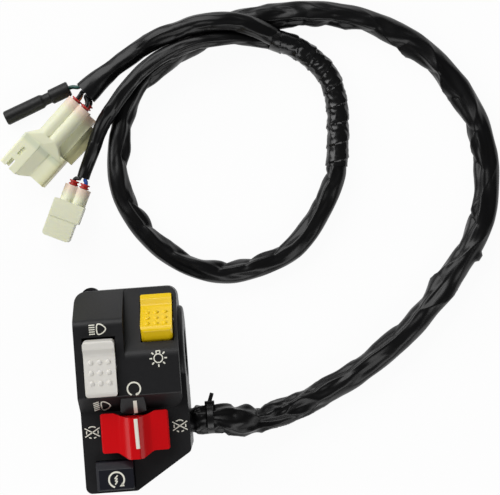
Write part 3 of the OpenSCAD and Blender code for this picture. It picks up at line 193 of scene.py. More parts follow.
MAIN_PLUG = PlugPlace((-16.6, 116.6, FLOOR_Z), 224.0)
SMALL_PLUG = PlugPlace((-20.4, 79.0, FLOOR_Z), 245.5)
BULLET = PlugPlace((-21.4, 125.0, -13.4), 201.4)


def set_inputs(node: Node, values: dict[Key, Any]) -> None:
    """Set inputs of a node, by name or number."""
    for key, value in values.items():
        node.inputs[key].default_value = value


def new_node(tree: NodeTree, kind: str, inputs: dict[Key, Any] | None = None, **settings: Any) -> Node:
    """Add a node, with its settings first and then the values of its inputs.

    Args:
        tree: The node tree.
        kind: The node's type.
        inputs: Values by input.
        settings: Values by setting.

    Returns:
        The node.
    """
    node = tree.nodes.new(kind)
    for name, value in settings.items():
        setattr(node, name, value)
    set_inputs(node, inputs or {})
    return node


def join(tree: NodeTree, *links: tuple[Node, Key, Node, Key]) -> None:
    """Link nodes; a link is a node and its output, then a node and its input."""
    for source, output, target, entry in links:
        tree.links.new(source.outputs[output], target.inputs[entry])


def placed(name: str, data: ID) -> Object:
    """Make an object of some data and put it into the scene.

    Args:
        name: Its name.
        data: Its mesh, curve, camera or light.

    Returns:
        The object.
    """
    made = bpy.data.objects.new(name, data)
    bpy.context.scene.collection.objects.link(made)
    return made


SCATTER_REACH = 0.0008
SCATTER_TINT = (1.0, 0.95, 0.7)
LEAST_ROUGHNESS = 0.02
BUMP_STRENGTH = 0.6
MM_PER_METRE = 1000.0
PATCH_DETAIL = 3.0
GRAIN_DETAIL = 2.0
NOISE_LOW = 0.3
NOISE_HIGH = 0.7
STREAK_STRETCH = 0.25
STREAK_ROWS = 26.0
STREAK_PATCHES = 3.0


@dataclass(frozen=True)
class Finish:
    """A surface: its colour, gloss, and the size and depth of its grain.

    Attributes:
        name: Material name.
        colour: Colour as it looks on a screen.
        roughness: Middle roughness.
        slot: The record's material slot, where it has another name.
        spread: How far the roughness wanders over the surface.
        metallic: Share of metal.
        shade: Brightness of the darker patches, as a share of the colour.
        mottle_mm: Size of the patches.
        grain_mm: Size of the grain.
        grain_depth_mm: Depth of the grain.
        specular: Strength of the plain reflection.
        transmission: Share of light let through.
        scatter: Weight of light scattered below the surface.
        streak: Whether the grain runs along the piece's own length.
    """

    name: str
    colour: Colour
    roughness: float
    slot: str = ""
    spread: float = 0.06
    metallic: float = 0.0
    shade: float = 0.86
    mottle_mm: float = 9.0
    grain_mm: float = 0.35
    grain_depth_mm: float = 0.02
    specular: float = 0.5
    transmission: float = 0.0
    scatter: float = 0.0
    streak: bool = False

    @property
    def record_slot(self) -> str:
        """Give the record's material slot."""
        return self.slot or self.name

    def _noise(self, tree: NodeTree, scale: Point, detail: float) -> Node:
        """Add one noise pattern.

        Args:
            tree: The material's node tree.
            scale: Grains per metre along each axis.
            detail: Octaves of the noise.

        Returns:
            The noise node.
        """
        output = "UV" if self.streak else "Object"
        if self.streak:
            start = new_node(tree, "ShaderNodeUVMap", uv_map="flow")
        else:
            start = tree.nodes.new("ShaderNodeTexCoord")
        mapping = new_node(tree, "ShaderNodeMapping", {"Scale": scale})
        pattern = new_node(tree, "ShaderNodeTexNoise", {"Scale": 1.0, "Detail": detail})
        join(tree, (start, output, mapping, "Vector"), (mapping, "Vector", pattern, "Vector"))
        return pattern

    def _tinted(self, tree: NodeTree, colour: Node) -> Node:
        """Give the colour's node as it is; a finish with tints adds them here."""
        return colour

    def build(self) -> Material:
        """Make the material.

        Returns:
            A node material with this finish.
        """
        material = bpy.data.materials.new(self.name)
        material.use_nodes = True
        tree = material.node_tree
        shader = tree.nodes["Principled BSDF"]
        constants = {
            "Metallic": self.metallic,
            "Specular IOR Level": self.specular,
            "Transmission Weight": self.transmission,
            "Subsurface Weight": self.scatter,
            "Subsurface Scale": SCATTER_REACH,
            "Subsurface Radius": SCATTER_TINT,
        }
        set_inputs(shader, constants)

        patch = MM_PER_METRE / self.mottle_mm
        grain = MM_PER_METRE / self.grain_mm
        patch_scale = (patch, STREAK_PATCHES, 1.0) if self.streak else (patch, patch, patch)
        grain_scale = (grain * STREAK_STRETCH, STREAK_ROWS, 1.0) if self.streak else (grain, grain, grain)
        patches = self._noise(tree, patch_scale, PATCH_DETAIL)
        grains = self._noise(tree, grain_scale, GRAIN_DETAIL)

        bright = linear(self.colour)
        dark = (*(part * self.shade for part in bright[:3]), 1.0)
        mix = new_node(tree, "ShaderNodeMix", {"A": dark, "B": bright}, data_type="RGBA")
        gloss = new_node(
            tree,
            "ShaderNodeMapRange",
            {
                "From Min": NOISE_LOW,
                "From Max": NOISE_HIGH,
                "To Min": max(self.roughness - self.spread, LEAST_ROUGHNESS),
                "To Max": min(self.roughness + self.spread, 1.0),
            },
        )
        depth = self.grain_depth_mm * MM
        bump = new_node(tree, "ShaderNodeBump", {"Strength": BUMP_STRENGTH, "Distance": depth})
        join(
            tree,
            (patches, "Fac", mix, "Factor"),
            (self._tinted(tree, mix), "Result", shader, "Base Color"),
            (grains, "Fac", gloss, "Value"),
            (gloss, "Result", shader, "Roughness"),
            (grains, "Fac", bump, "Height"),
            (bump, "Normal", shader, "Normal"),
        )
        return material


@dataclass(frozen=True)
class Tint:
    """A colour that comes in along one axis of a plug, from none_at to full_at."""

    axis: Axis
    none_at: float
    full_at: float
    share: float
    colour: Colour


@dataclass(frozen=True)
class PlugNylon(Finish):
    """Milky nylon of a plug: tinted by the seals and the inner parts that show through it, with painted shade
    over the inner parts and on the side away from the light.
    """

    plug: PlugPlace = MAIN_PLUG
    tints: tuple[Tint, ...] = ()

    def _tinted(self, tree: NodeTree, colour: Node) -> Node:
        """Mix the tints into the colour.

        Args:
            tree: The material's node tree.
            colour: The node with the plain colour.

        Returns:
            The node with the final colour.
        """
        start = tree.nodes.new("ShaderNodeTexCoord")
        place = {
            "Location": Vector(self.plug.at) * MM,
            "Rotation": (0.0, 0.0, math.radians(self.plug.turn)),
            "Scale": (MM, MM, MM),
        }
        local = new_node(tree, "ShaderNodeMapping", place, vector_type="TEXTURE")
        axes = tree.nodes.new("ShaderNodeSeparateXYZ")
        join(tree, (start, "Object", local, "Vector"), (local, "Vector", axes, "Vector"))
        for tint in self.tints:
            ramp = {"From Min": tint.none_at, "From Max": tint.full_at, "To Max": tint.share}
            amount = new_node(tree, "ShaderNodeMapRange", ramp, interpolation_type="SMOOTHSTEP")
            mix = new_node(tree, "ShaderNodeMix", {"B": linear(tint.colour)}, data_type="RGBA")
            join(
                tree,
                (axes, tint.axis.value, amount, "Value"),
                (amount, "Result", mix, "Factor"),
                (colour, "Result", mix, "A"),
            )
            colour = mix
        return colour


HOUSING_BLACK = Finish("housing_black", (25, 25, 27), 0.45, grain_mm=0.42, grain_depth_mm=0.03, specular=0.36)
INNER_BLACK = Finish("inner_black", (30, 30, 32), 0.55)
IVORY = Finish("ivory_plastic", (232, 229, 222), 0.36, shade=0.96, scatter=0.1, grain_depth_mm=0.005)
YELLOW = Finish("yellow_plastic", (255, 213, 14), 0.26, spread=0.02, shade=0.97, grain_depth_mm=0.002)
RED = Finish("red_plastic", (210, 2, 12), 0.24, spread=0.02, shade=0.97, grain_depth_mm=0.001)
BUTTON_BLACK = Finish("button_black", (24, 25, 33), 0.36, grain_depth_mm=0.012, specular=0.36)
SIGN_WHITE = Finish("sign_white", (240, 238, 224), 0.5, "ivory_plastic", shade=0.95, grain_depth_mm=0.004)
CARRIAGE = Finish("carriage_plastic", (200, 198, 188), 0.42)
BOARD = Finish("contact_board", (92, 62, 38), 0.58, "board", grain_mm=0.6, shade=0.7)
STEEL = Finish("steel", (190, 190, 192), 0.3, metallic=1.0, grain_mm=0.2, grain_depth_mm=0.006)
BRASS = Finish("brass", (201, 164, 86), 0.32, metallic=1.0, grain_mm=0.2, grain_depth_mm=0.006)
CONTACT = Finish("contact_metal", (206, 202, 190), 0.28, metallic=1.0, grain_depth_mm=0.005)
TERMINAL = Finish("terminal_metal", (186, 184, 172), 0.34, "terminal", metallic=1.0, grain_depth_mm=0.006)
SHEATH = Finish(
    "sheath_vinyl", (11, 11, 12), 0.33, "sheath", spread=0.015, grain_mm=1.6, grain_depth_mm=0.0015,
    mottle_mm=14.0, specular=0.32, streak=True,
)
TAPE = Finish(
    "tape_vinyl", (11, 11, 12), 0.27, "tape", spread=0.03, grain_mm=0.8, grain_depth_mm=0.006,
    mottle_mm=7.0, streak=True,
)
TIE = Finish("tie_nylon", (14, 14, 15), 0.33, "tie", grain_depth_mm=0.01)
SLEEVE = Finish(
    "sleeve_vinyl", (23, 23, 23), 0.46, "sleeve", specular=0.32, grain_mm=1.1, grain_depth_mm=0.05
)
MILKY = {"slot": "nylon", "shade": 0.97, "transmission": 0.1, "scatter": 0.45, "grain_depth_mm": 0.006}
SEAL_GLOW = (240, 178, 182)
MAIN_NYLON = PlugNylon(
    "main_plug_nylon", (250, 252, 219), 0.42, **MILKY, plug=MAIN_PLUG,
    tints=(
        # Blue-grey band across the shroud where the inner wall and terminals show through: their colour with
        # painted shade; the next tint ends it.
        Tint(Axis.X, 24.6, 26.4, 0.3, (168, 186, 178)),
        Tint(Axis.X, 27.4, 29.4, 1.0, (250, 252, 219)),
        Tint(Axis.X, 7.5, 0.5, 0.5, SEAL_GLOW),
        # Painted shade on the rail side, which faces away from the light.
        Tint(Axis.Y, 8.0, 14.0, 0.6, (190, 180, 112)),
    ),
)
SMALL_NYLON = PlugNylon(
    "small_plug_nylon", (250, 252, 222), 0.42, **MILKY, plug=SMALL_PLUG,
    tints=(Tint(Axis.X, 6.5, 0.5, 0.45, SEAL_GLOW),),
)
SEAL_RED = Finish("seal_red", (196, 38, 30), 0.42, grain_depth_mm=0.01)
WIRE_BLACK = Finish("wire_black", (26, 26, 27), 0.36, grain_depth_mm=0.008)
WIRE_ORANGE = replace(WIRE_BLACK, name="wire_orange", colour=(226, 132, 30), slot="wire_black")
WIRE_GREEN = replace(WIRE_BLACK, name="wire_green", colour=(24, 82, 74))
WIRE_BLUE = replace(WIRE_BLACK, name="wire_blue", colour=(24, 96, 200))
SMALL_WIRE_BLACK = replace(WIRE_BLACK, slot="wire_blue")

SLOTS = {
    finish.record_slot: finish
    for finish in (
        HOUSING_BLACK, INNER_BLACK, IVORY, YELLOW, RED, BUTTON_BLACK, CARRIAGE, BOARD, STEEL, BRASS, CONTACT,
        TERMINAL, SHEATH, TAPE, TIE, SLEEVE, MAIN_NYLON, SEAL_RED, WIRE_BLACK, WIRE_GREEN, WIRE_BLUE,
    )
}


@dataclass(frozen=True)
class Edges:
    """How a rigid solid's edges are rounded.

    Attributes:
        width: Width of the rounding, in millimetres.
        shortest: Shortest edge that is rounded, in millimetres.
        angle: Sharpest bend that is left alone, in degrees.
        least_face: Smallest face that a rounded edge may border, in square millimetres.
        segments: Strips across the rounding.
    """

    width: float
    shortest: float = 0.3
    angle: float = 28.0
    least_face: float = 0.3
    segments: int = 3


SHELL_EDGES = Edges(0.4)
ROCKER_EDGES = Edges(0.75)
PLUG_EDGES = Edges(0.35)
SEAL_EDGES = Edges(0.12, 0.1)
SLEEVE_EDGES = Edges(0.2, 0.1)
TIE_EDGES = Edges(0.25)
MERGE_DISTANCE = 2e-6
FLAT_ANGLE = 0.4
ROUNDED_SHARP_ANGLE = 32.0


def settled(carrier: Object, name: str) -> Mesh:
    """Keep what a carrier's modifiers make as a plain mesh, and drop the carrier.

    Args:
        carrier: The carrier.
        name: Name of the result.

    Returns:
        The mesh.
    """
    bpy.context.view_layer.update()
    mesh = bpy.data.meshes.new_from_object(carrier.evaluated_get(bpy.context.evaluated_depsgraph_get()))
    bpy.data.objects.remove(carrier)
    mesh.name = name
    return mesh


def rounded_mesh(source: Object, edges: Edges) -> Mesh:
    """Copy a solid with its flat faces joined, its edges rounded and its flat faces shaded flat.

    Args:
        source: The CAD node's object.
        edges: The rounding.

    Returns:
        The new mesh.
    """
    work = bmesh.new()
    work.from_mesh(source.data)
    bmesh.ops.remove_doubles(work, verts=work.verts, dist=MERGE_DISTANCE)
    bmesh.ops.dissolve_limit(
        work, angle_limit=math.radians(FLAT_ANGLE), verts=work.verts, edges=work.edges, delimit={"NORMAL"}
    )
    limit = math.radians(edges.angle)
    chosen = [
        edge
        for edge in work.edges
        if len(edge.link_faces) == 2
        and edge.calc_face_angle(0.0) > limit
        and edge.calc_length() > edges.shortest * MM
        and min(face.calc_area() for face in edge.link_faces) > edges.least_face * MM * MM
    ]
    bmesh.ops.bevel(
        work, geom=chosen, offset=edges.width * MM, offset_type="OFFSET", segments=edges.segments,
        profile=0.5, affect="EDGES", clamp_overlap=True,
    )
    for face in work.faces:
        face.smooth = True
    rough = bpy.data.meshes.new(source.name + "_edges")
    work.to_mesh(rough)
    work.free()
    rough.set_sharp_from_angle(angle=math.radians(ROUNDED_SHARP_ANGLE))
    name = source.name + "_rounded"
    carrier = placed(name + "_start", rough)
    carrier.modifiers.new("normals", "WEIGHTED_NORMAL").keep_sharp = True
    return settled(carrier, name)


@dataclass
class Workshop:
    """What every sub-assembly shares: the frame and the materials made so far."""

    frame: dict[str, Any]
    made: dict[str, Material] = field(default_factory=dict)

    def paint(self, finish: Finish) -> Material:
        """Give the material of a finish, made once.

        Args:
            finish: The finish.

        Returns:
            Its material.
        """
        if finish.name not in self.made:
            self.made[finish.name] = finish.build()
        return self.made[finish.name]

    def add(self, name: str, mesh: Mesh, body: Body, finish: Finish) -> Object:
        """Put a mesh into the scene as a piece that rides on a body.

        Args:
            name: Piece name.
            mesh: Its mesh, in place and in metres.
            body: The body it moves with.
            finish: Its finish.

        Returns:
            The piece.
        """
        piece = placed(name, mesh)
        mesh.materials.clear()
        mesh.materials.append(self.paint(finish))
        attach(piece, body.value)
        LOG.info("%s rides on %s", name, body.value)
        return piece

    def rounded(self, node: str, edges: Edges, finish: Finish, body: Body = Body.HOUSING) -> Object:
        """Make the rounded copy of a rigid node.

        Args:
            node: The CAD node that it replaces.
            edges: Its rounding.
            finish: Its finish.
            body: The body it moves with.

        Returns:
            The piece.
        """
        mesh = rounded_mesh(self.frame["nodes"][node], edges)
        piece = self.add(node + "_rounded", mesh, body, finish)
        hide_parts(node)
        return piece


CUTS_PER_STRETCH = 24
SHORTEST_STRETCH = 1e-9


def smooth_path(points: Sequence[Vector], step: float) -> list[Vector]:
    """Run one smooth curve through points and cut it into even steps.

    Args:
        points: The points of the route.
        step: Distance between the results, in metres.

    Returns:
        Evenly spaced points on a centripetal spline.
    """
    ends = [points[0] * 2 - points[1], *points, points[-1] * 2 - points[-2]]
    fine: list[Vector] = []
    for index in range(len(points) - 1):
        quad = ends[index:index + 4]
        knots = [0.0]
        for first, second in zip(quad, quad[1:]):
            knots.append(knots[-1] + math.sqrt(max((second - first).length, SHORTEST_STRETCH)))
        for part in range(CUTS_PER_STRETCH):
            at = knots[1] + (knots[2] - knots[1]) * part / CUTS_PER_STRETCH
            level = quad
            for spans in (((0, 1), (1, 2), (2, 3)), ((0, 2), (1, 3)), ((1, 2),)):
                shares = [(at - knots[low]) / (knots[high] - knots[low]) for low, high in spans]
                level = [level[i] * (1.0 - share) + level[i + 1] * share for i, share in enumerate(shares)]
            fine.append(level[0])
    fine.append(points[-1].copy())
    return resample(fine, step)


def resample(points: Sequence[Vector], step: float) -> list[Vector]:
    """Cut a polyline into even steps.

    Args:
        points: The polyline.
        step: Wanted distance between results.

    Returns:
        Evenly spaced points, the ends kept.
    """
    travel = [0.0]
    for first, second in zip(points, points[1:]):
        travel.append(travel[-1] + (second - first).length)
    count = max(2, round(travel[-1] / step))
    result = []
    cursor = 0
    for index in range(count + 1):
        want = travel[-1] * index / count
        while cursor < len(points) - 2 and travel[cursor + 1] < want:
            cursor += 1
        gap = travel[cursor + 1] - travel[cursor]
        share = 0.0 if gap == 0 else (want - travel[cursor]) / gap
        result.append(points[cursor].lerp(points[cursor + 1], min(max(share, 0.0), 1.0)))
    return result


def path_length(points: Sequence[Vector]) -> float:
    """Measure a polyline."""
    return sum((second - first).length for first, second in zip(points, points[1:]))


def end_direction(route: Sequence[Vector]) -> Vector:
    """Give the direction in which a route ends."""
    return (route[-1] - route[-2]).normalized()


@dataclass(frozen=True)
class Station:
    """One ring of a swept skin.

    Attributes:
        centre: Middle of the ring.
        along: Direction of travel.
        side: Level direction, to the left of travel.
        up: Upward direction.
        travel: Distance from the start, in millimetres.
        left: Distance to the end, in millimetres.
        bend: Signed turn towards `side`, per metre.
    """

    centre: Vector
    along: Vector
    side: Vector
    up: Vector
    travel: float
    left: float
    bend: float


Shape = Callable[[Station, float], Flat]
BEND_REACH = 0.004
LIP_SHARES = ((0.86, 0.0), (0.84, 6.0))
LIP_TRAVEL = 0.002
SKIN_SHARP_ANGLE = 70.0


def stations_of(path: Sequence[Vector]) -> list[Station]:
    """Set up the rings along a path.

    Args:
        path: Evenly spaced points.

    Returns:
        One station for each point.
    """
    total = path_length(path)
    last = len(path) - 1
    step = total / last
    reach = max(1, round(BEND_REACH / step))
    result = []
    for index, centre in enumerate(path):
        along = (path[min(index + 1, last)] - path[max(index - 1, 0)]).normalized()
        side = UP.cross(along).normalized()
        back = path[max(index - reach, 0)]
        ahead = path[min(index + reach, last)]
        turn = (ahead - centre).normalized() - (centre - back).normalized()
        bend = turn.dot(side) / (reach * step)
        travel = index * step
        up = along.cross(side)
        result.append(Station(centre, along, side, up, travel / MM, (total - travel) / MM, bend))
    return result


def skin_mesh(name: str, rings: Sequence[Station], shape: Shape, sides: int, hollow: bool) -> Mesh:
    """Sweep a closed skin along its rings.

    Args:
        name: Mesh name.
        rings: The stations.
        shape: Gives the half width and half height, in millimetres, at a station and an angle.
        sides: Points around.
        hollow: Whether the far end is an open lip with a wall instead of a plain end.

    Returns:
        A smooth mesh with the map layer `flow`.
    """
    mesh = bmesh.new()
    flow = mesh.loops.layers.uv.new("flow")
    rows = []
    for ring in rings:
        row = []
        for index in range(sides):
            angle = math.tau * index / sides
            wide, tall = shape(ring, angle)
            spot = ring.centre + ring.side * (wide * math.cos(angle) * MM)
            spot += ring.up * (tall * math.sin(angle) * MM)
            spot.z = max(spot.z, FLOOR_Z * MM)
            row.append(mesh.verts.new(spot))
        rows.append(row)
    travels = [ring.travel * MM for ring in rings]
    if hollow:
        end, rim = rings[-1], rows[-1]
        for share, depth in LIP_SHARES:
            inset = end.centre - end.along * (depth * MM)
            rows.append([mesh.verts.new(inset + (vertex.co - end.centre) * share) for vertex in rim])
            travels.append(travels[-1] + LIP_TRAVEL)
    for index in range(len(rows) - 1):
        for k in range(sides):
            n = (k + 1) % sides
            face = mesh.faces.new((rows[index][k], rows[index][n], rows[index + 1][n], rows[index + 1][k]))
            spots = ((index, k), (index, k + 1), (index + 1, k + 1), (index + 1, k))
            for loop, (i, around) in zip(face.loops, spots):
                loop[flow].uv = (travels[i], around / sides)
            face.smooth = True
    mesh.faces.new(list(reversed(rows[0])))
    mesh.faces.new(rows[-1])
    bmesh.ops.recalc_face_normals(mesh, faces=mesh.faces)
    result = bpy.data.meshes.new(name)
    mesh.to_mesh(result)
    mesh.free()
    result.set_sharp_from_angle(angle=math.radians(SKIN_SHARP_ANGLE))
    return result


SEED_STEPS = (7.31, 3.17)


def wave(value: float, seed: float) -> float:
    """Give a smooth value from minus one to one that wanders along the line of a seed."""
    return noise.noise(Vector((value, *(seed * step for step in SEED_STEPS))))


def ring_noise(angle: float, scale: float, along: float) -> float:
    """Give a smooth value from minus one to one at an angle round a tube and a place along it."""
    return noise.noise(Vector((math.cos(angle) * scale, math.sin(angle) * scale, along)))


def ease(value: float, low: float, high: float) -> float:
    """Rise smoothly from zero at low to one at high."""
    share = min(max((value - low) / (high - low), 0.0), 1.0)
    return share * share * (3.0 - 2.0 * share)


@dataclass(frozen=True)
class Stretch:
    """An amount that holds from low to high along a tube and fades over a soft length."""

    low: float
    high: float
    soft: float
    amount: float

    def at(self, travel: float) -> float:
        """Give the amount at a place."""
        rise = ease(travel, self.low - self.soft, self.low)
        return self.amount * rise * (1.0 - ease(travel, self.high, self.high + self.soft))


# Factors of the folds, and lengths across the long crease.
FOLD_POWER = 0.6
FOLD_MIDDLE = 0.3
FOLD_DEPTH = 0.75
FOLD_DEPTH_SWING = 0.4
DRIFT = 1.9
JITTER = 0.5
TAUT_LOSS = 0.8
TAUT_FROM = 0.25
TAUT_TO = 0.9
BUCKLE_FROM = -0.1
BUCKLE_TO = 0.75
BUCKLE_DRIFT = 0.8
BUCKLE_SLANT = 0.9
BUCKLE_MIDDLE = 0.7
CREASE_ANGLE = 1.12
CREASE_WANDER = 0.42
CREASE_RADIUS = 5.0
CREASE_HEIGHT = 0.55
CREASE_HEIGHT_SWING = 0.75
CREST_WIDTH = 0.9
VALLEY_PLACE = 1.9
VALLEY_WIDTH = 1.3
VALLEY_SHARE = 0.9
RIPPLE_SCALE = 1.2
RIPPLE_SEED_STEP = 5.0
CRUMPLE_SCALE = 1.5
CRUMPLE_SEED_STEP = 9.0
CRUMPLE_MIDDLE = 0.45
CRUMPLE_GAIN = 1.6
LEAN_SWING = 1.3
# Bends, per metre, at which the outer side is taut and the buckles are full.
TAUT_BEND = 8.0
FULL_BEND = 16.0
# Lengths along a tube over which each pattern changes.
DRIFT_RUN = 46.0
JITTER_RUN = 15.0
DEPTH_RUN = 27.0
BUCKLE_DRIFT_RUN = 34.0
CREASE_RUN = 31.0
CREASE_HEIGHT_RUN = 23.0
RIPPLE_RUN = 12.0
CRUMPLE_RUN = 11.0
LEAN_RUN = 60.0


@dataclass(frozen=True)
class Creases:
    """How a soft vinyl tube folds.

    Attributes:
        seed: Which pattern.
        twist: Depth of the folds that wind round the tube.
        pitch: Length of one winding.
        buckle: Depth of the buckles on the inside of a bend.
        buckle_run: Length of one buckle.
        crumple: Depth of the loose crumples.
        ripple: Depth of the soft waves all along.
        crease: Height of the long crease beside the inside of a bend.
        flat: How far the tube is pressed flat.
        starts: Winding folds side by side.
    """

    seed: float
    twist: float
    pitch: float
    buckle: float
    buckle_run: float
    crumple: float
    ripple: float
    crease: float
    flat: float
    starts: int = 2

    def offset(self, ring: Station, angle: float, twist_share: float, crumple_share: float) -> float:
        """Give how far the skin stands out from its round form.

        Args:
            ring: The station.
            angle: Angle round the tube.
            twist_share: Strength of the winding folds here.
            crumple_share: Strength of the crumples here.

        Returns:
            The offset, in millimetres.
        """
        s = ring.travel
        inner = math.copysign(1.0, ring.bend) * math.cos(angle)
        taut = 1.0 - TAUT_LOSS * ease(-inner, TAUT_FROM, TAUT_TO) * min(abs(ring.bend) / TAUT_BEND, 1.0)
        drift = DRIFT * wave(s / DRIFT_RUN, self.seed) + JITTER * wave(s / JITTER_RUN, self.seed + 1.0)
        phase = self.starts * angle - math.tau * s / self.pitch + drift
        ridge = 1.0 - abs(math.sin(phase / 2.0)) ** FOLD_POWER
        depth = FOLD_DEPTH + FOLD_DEPTH_SWING * wave(s / DEPTH_RUN, self.seed + 2.0)
        out = self.twist * twist_share * (ridge - FOLD_MIDDLE) * depth * taut

        weight = ease(inner, BUCKLE_FROM, BUCKLE_TO) * min(abs(ring.bend) / FULL_BEND, 1.0)
        count = s / self.buckle_run + BUCKLE_DRIFT * wave(s / BUCKLE_DRIFT_RUN, self.seed + 3.0)
        slant = math.pi * count + BUCKLE_SLANT * math.sin(angle)
        out += self.buckle * weight * (abs(math.sin(slant)) ** FOLD_POWER - BUCKLE_MIDDLE)

        turned = angle if ring.bend > 0.0 else math.pi - angle
        line = turned - CREASE_ANGLE - CREASE_WANDER * wave(s / CREASE_RUN, self.seed + 5.0)
        across = CREASE_RADIUS * math.remainder(line, math.tau)
        swing = CREASE_HEIGHT_SWING * wave(s / CREASE_HEIGHT_RUN, self.seed + 6.0)
        crest = math.exp(-(across / CREST_WIDTH) ** 2)
        valley = math.exp(-((across + VALLEY_PLACE) / VALLEY_WIDTH) ** 2)
        out += max(self.crease * (CREASE_HEIGHT + swing), 0.0) * (crest - VALLEY_SHARE * valley)

        soft = ring_noise(angle, RIPPLE_SCALE, s / RIPPLE_RUN - self.seed * RIPPLE_SEED_STEP)
        rough = ring_noise(angle, CRUMPLE_SCALE, s / CRUMPLE_RUN + self.seed * CRUMPLE_SEED_STEP)
        loose = CRUMPLE_MIDDLE - abs(rough) * CRUMPLE_GAIN
        return out + self.ripple * soft * taut + self.crumple * crumple_share * loose

    def oval(self, ring: Station, angle: float) -> float:
        """Give the flattening of the tube at an angle, as a share of its radius."""
        lean = LEAN_SWING * wave(ring.travel / LEAN_RUN, self.seed + 4.0)
        return self.flat * math.cos(2.0 * (angle - lean))


LOOM_CREASES = Creases(1.0, 1.7, 31.0, 1.6, 19.0, 1.7, 1.2, 0.7, 0.04)
MAIN_CREASES = Creases(2.0, 0.5, 60.0, 0.6, 19.0, 0.5, 0.55, 0.3, 0.03)
SMALL_CREASES = Creases(3.0, 0.6, 52.0, 0.5, 18.0, 0.3, 0.45, 0.45, 0.04)
LOOM_LEAST_TWIST = 0.12
LOOM_LEAST_CRUMPLE = 0.1
LOOM_TWIST = Stretch(150.0, 300.0, 30.0, 0.88)
LOOM_CRUMPLES = (Stretch(11.0, 60.0, 25.0, 0.9), Stretch(330.0, 390.0, 20.0, 0.35))
LOOM_SWELLS = (Stretch(26.0, 36.0, 6.0, 0.9), Stretch(13.0, 14.5, 2.0, 0.4), Stretch(18.4, 19.6, 2.2, -0.35))
LOOM_LUMP = Stretch(169.0, 171.5, 1.6, 1.4)
LUMP_POWER = 10
TAPE_PUCKERS = Stretch(18.0, 60.0, 10.0, 0.5)
# The tape's laps and its fine and slanted puckers.
TAPE_SEED = 5.0
TAPE_WIDEN = 0.1
LAP_WANDER = 0.12
LAP_WANDER_RUN = 9.0
LAP_HEIGHT = 0.5
LAP_POWER = 2.2
LEAST_PUCKER = 0.5
PUCKER_MIDDLE = 0.4
FINE_DEPTH = 0.4
FINE_GAIN = 1.3
FINE_SCALE = 1.6
FINE_RUN = 2.6
SLANT_DEPTH = 0.3
SLANT_GAIN = 1.2
SLANT_SCALE = 1.4
SLANT_RUN = 5.0
SLANT_LONG_RUN = 16.0
SLANT_SEED = 3.3
TUCK_GAP = 0.1
FLARE_CALM = 0.85
END_FOLDS = 0.3
# Lengths at the ends of the sheaths, over which each form comes in.
LOOM_START_RUN = 2.0
TUCK_RUN = 5.0
SPLIT_RUN = 18.0
FLARE_RUN = 20.0
BRANCH_START_RUN = 6.0
END_FOLDS_RUN = 8.0


@dataclass(frozen=True)
class PhotoView:
    """The camera, straight above the surface that the object lies on."""

    place: Point = (56.6, 45.5, 883.0)
    turn: float = -4.2
    lens: float = 139.6
    sensor: float = 36.0
    clip: Flat = (0.01, 20.0)

    def build(self) -> None:
        """Make the camera and look through it."""
        data = bpy.data.cameras.new("photo_camera")
        data.lens = self.lens
        data.sensor_width = self.sensor
        data.clip_start, data.clip_end = self.clip
        camera = placed("photo_camera", data)
        camera.location = Vector(self.place) * MM
        camera.rotation_euler = (0.0, 0.0, math.radians(self.turn))
        bpy.context.scene.camera = camera


def start_tree(name: str, inputs: dict[str, str]) -> tuple[NodeTree, Node, Node]:
    """Start a node tree that ends in real, painted faces.

    Args:
        name: Its name.
        inputs: Socket kind of each input beside the geometry and the material.

    Returns:
        The tree, its input node and the node that takes the shape.
    """
    tree = bpy.data.node_groups.new(name, "GeometryNodeTree")
    for label, kind in {"Geometry": "Geometry", **inputs, "Material": "Material"}.items():
        tree.interface.new_socket(label, in_out="INPUT", socket_type="NodeSocket" + kind)
    tree.interface.new_socket("Geometry", in_out="OUTPUT", socket_type="NodeSocketGeometry")
    entry = tree.nodes.new("NodeGroupInput")
    leave = tree.nodes.new("NodeGroupOutput")
    realise = tree.nodes.new("GeometryNodeRealizeInstances")
    paint = tree.nodes.new("GeometryNodeSetMaterial")
    join(
        tree,
        (realise, "Geometry", paint, "Geometry"),
        (entry, "Material", paint, "Material"),
        (paint, "Geometry", leave, "Geometry"),
    )
    return tree, entry, realise


def grown_mesh(name: str, data: ID, tree: NodeTree, values: dict[str, Any]) -> Mesh:
    """Run a node tree on a curve or mesh and keep the result as a plain mesh.

    Args:
        name: Name of the result.
        data: The curve or mesh that the tree starts from.
        tree: The node tree.
        values: Its inputs by name.

    Returns:
        The mesh.
    """
    carrier = placed(name + "_start", data)
    grown = carrier.modifiers.new("grown", "NODES")
    grown.node_group = tree
    for item in tree.interface.items_tree:
        if item.in_out == "INPUT" and item.name in values:
            grown[item.identifier] = values[item.name]
    return settled(carrier, name)


WIRE_D = 1.9
WIRE_SIDES = 20
WIRE_STEP = 0.0008
WIRE_SHARP_ANGLE = 50.0


def wire_tree() -> NodeTree:
    """Make the node tree that sweeps a circle along a curve.

    Returns:
        The tree.
    """
    tree, entry, shape = start_tree("WireAlongPath", {"Radius": "Float"})
    circle = new_node(tree, "GeometryNodeCurvePrimitiveCircle", {"Resolution": WIRE_SIDES})
    sweep = new_node(tree, "GeometryNodeCurveToMesh", {"Fill Caps": True})
    smooth = tree.nodes.new("GeometryNodeSetShadeSmooth")
    join(
        tree,
        (entry, "Geometry", sweep, "Curve"),
        (entry, "Radius", circle, "Radius"),
        (circle, "Curve", sweep, "Profile Curve"),
        (sweep, "Mesh", smooth, "Geometry"),
        (smooth, "Geometry", shape, "Geometry"),
    )
    return tree


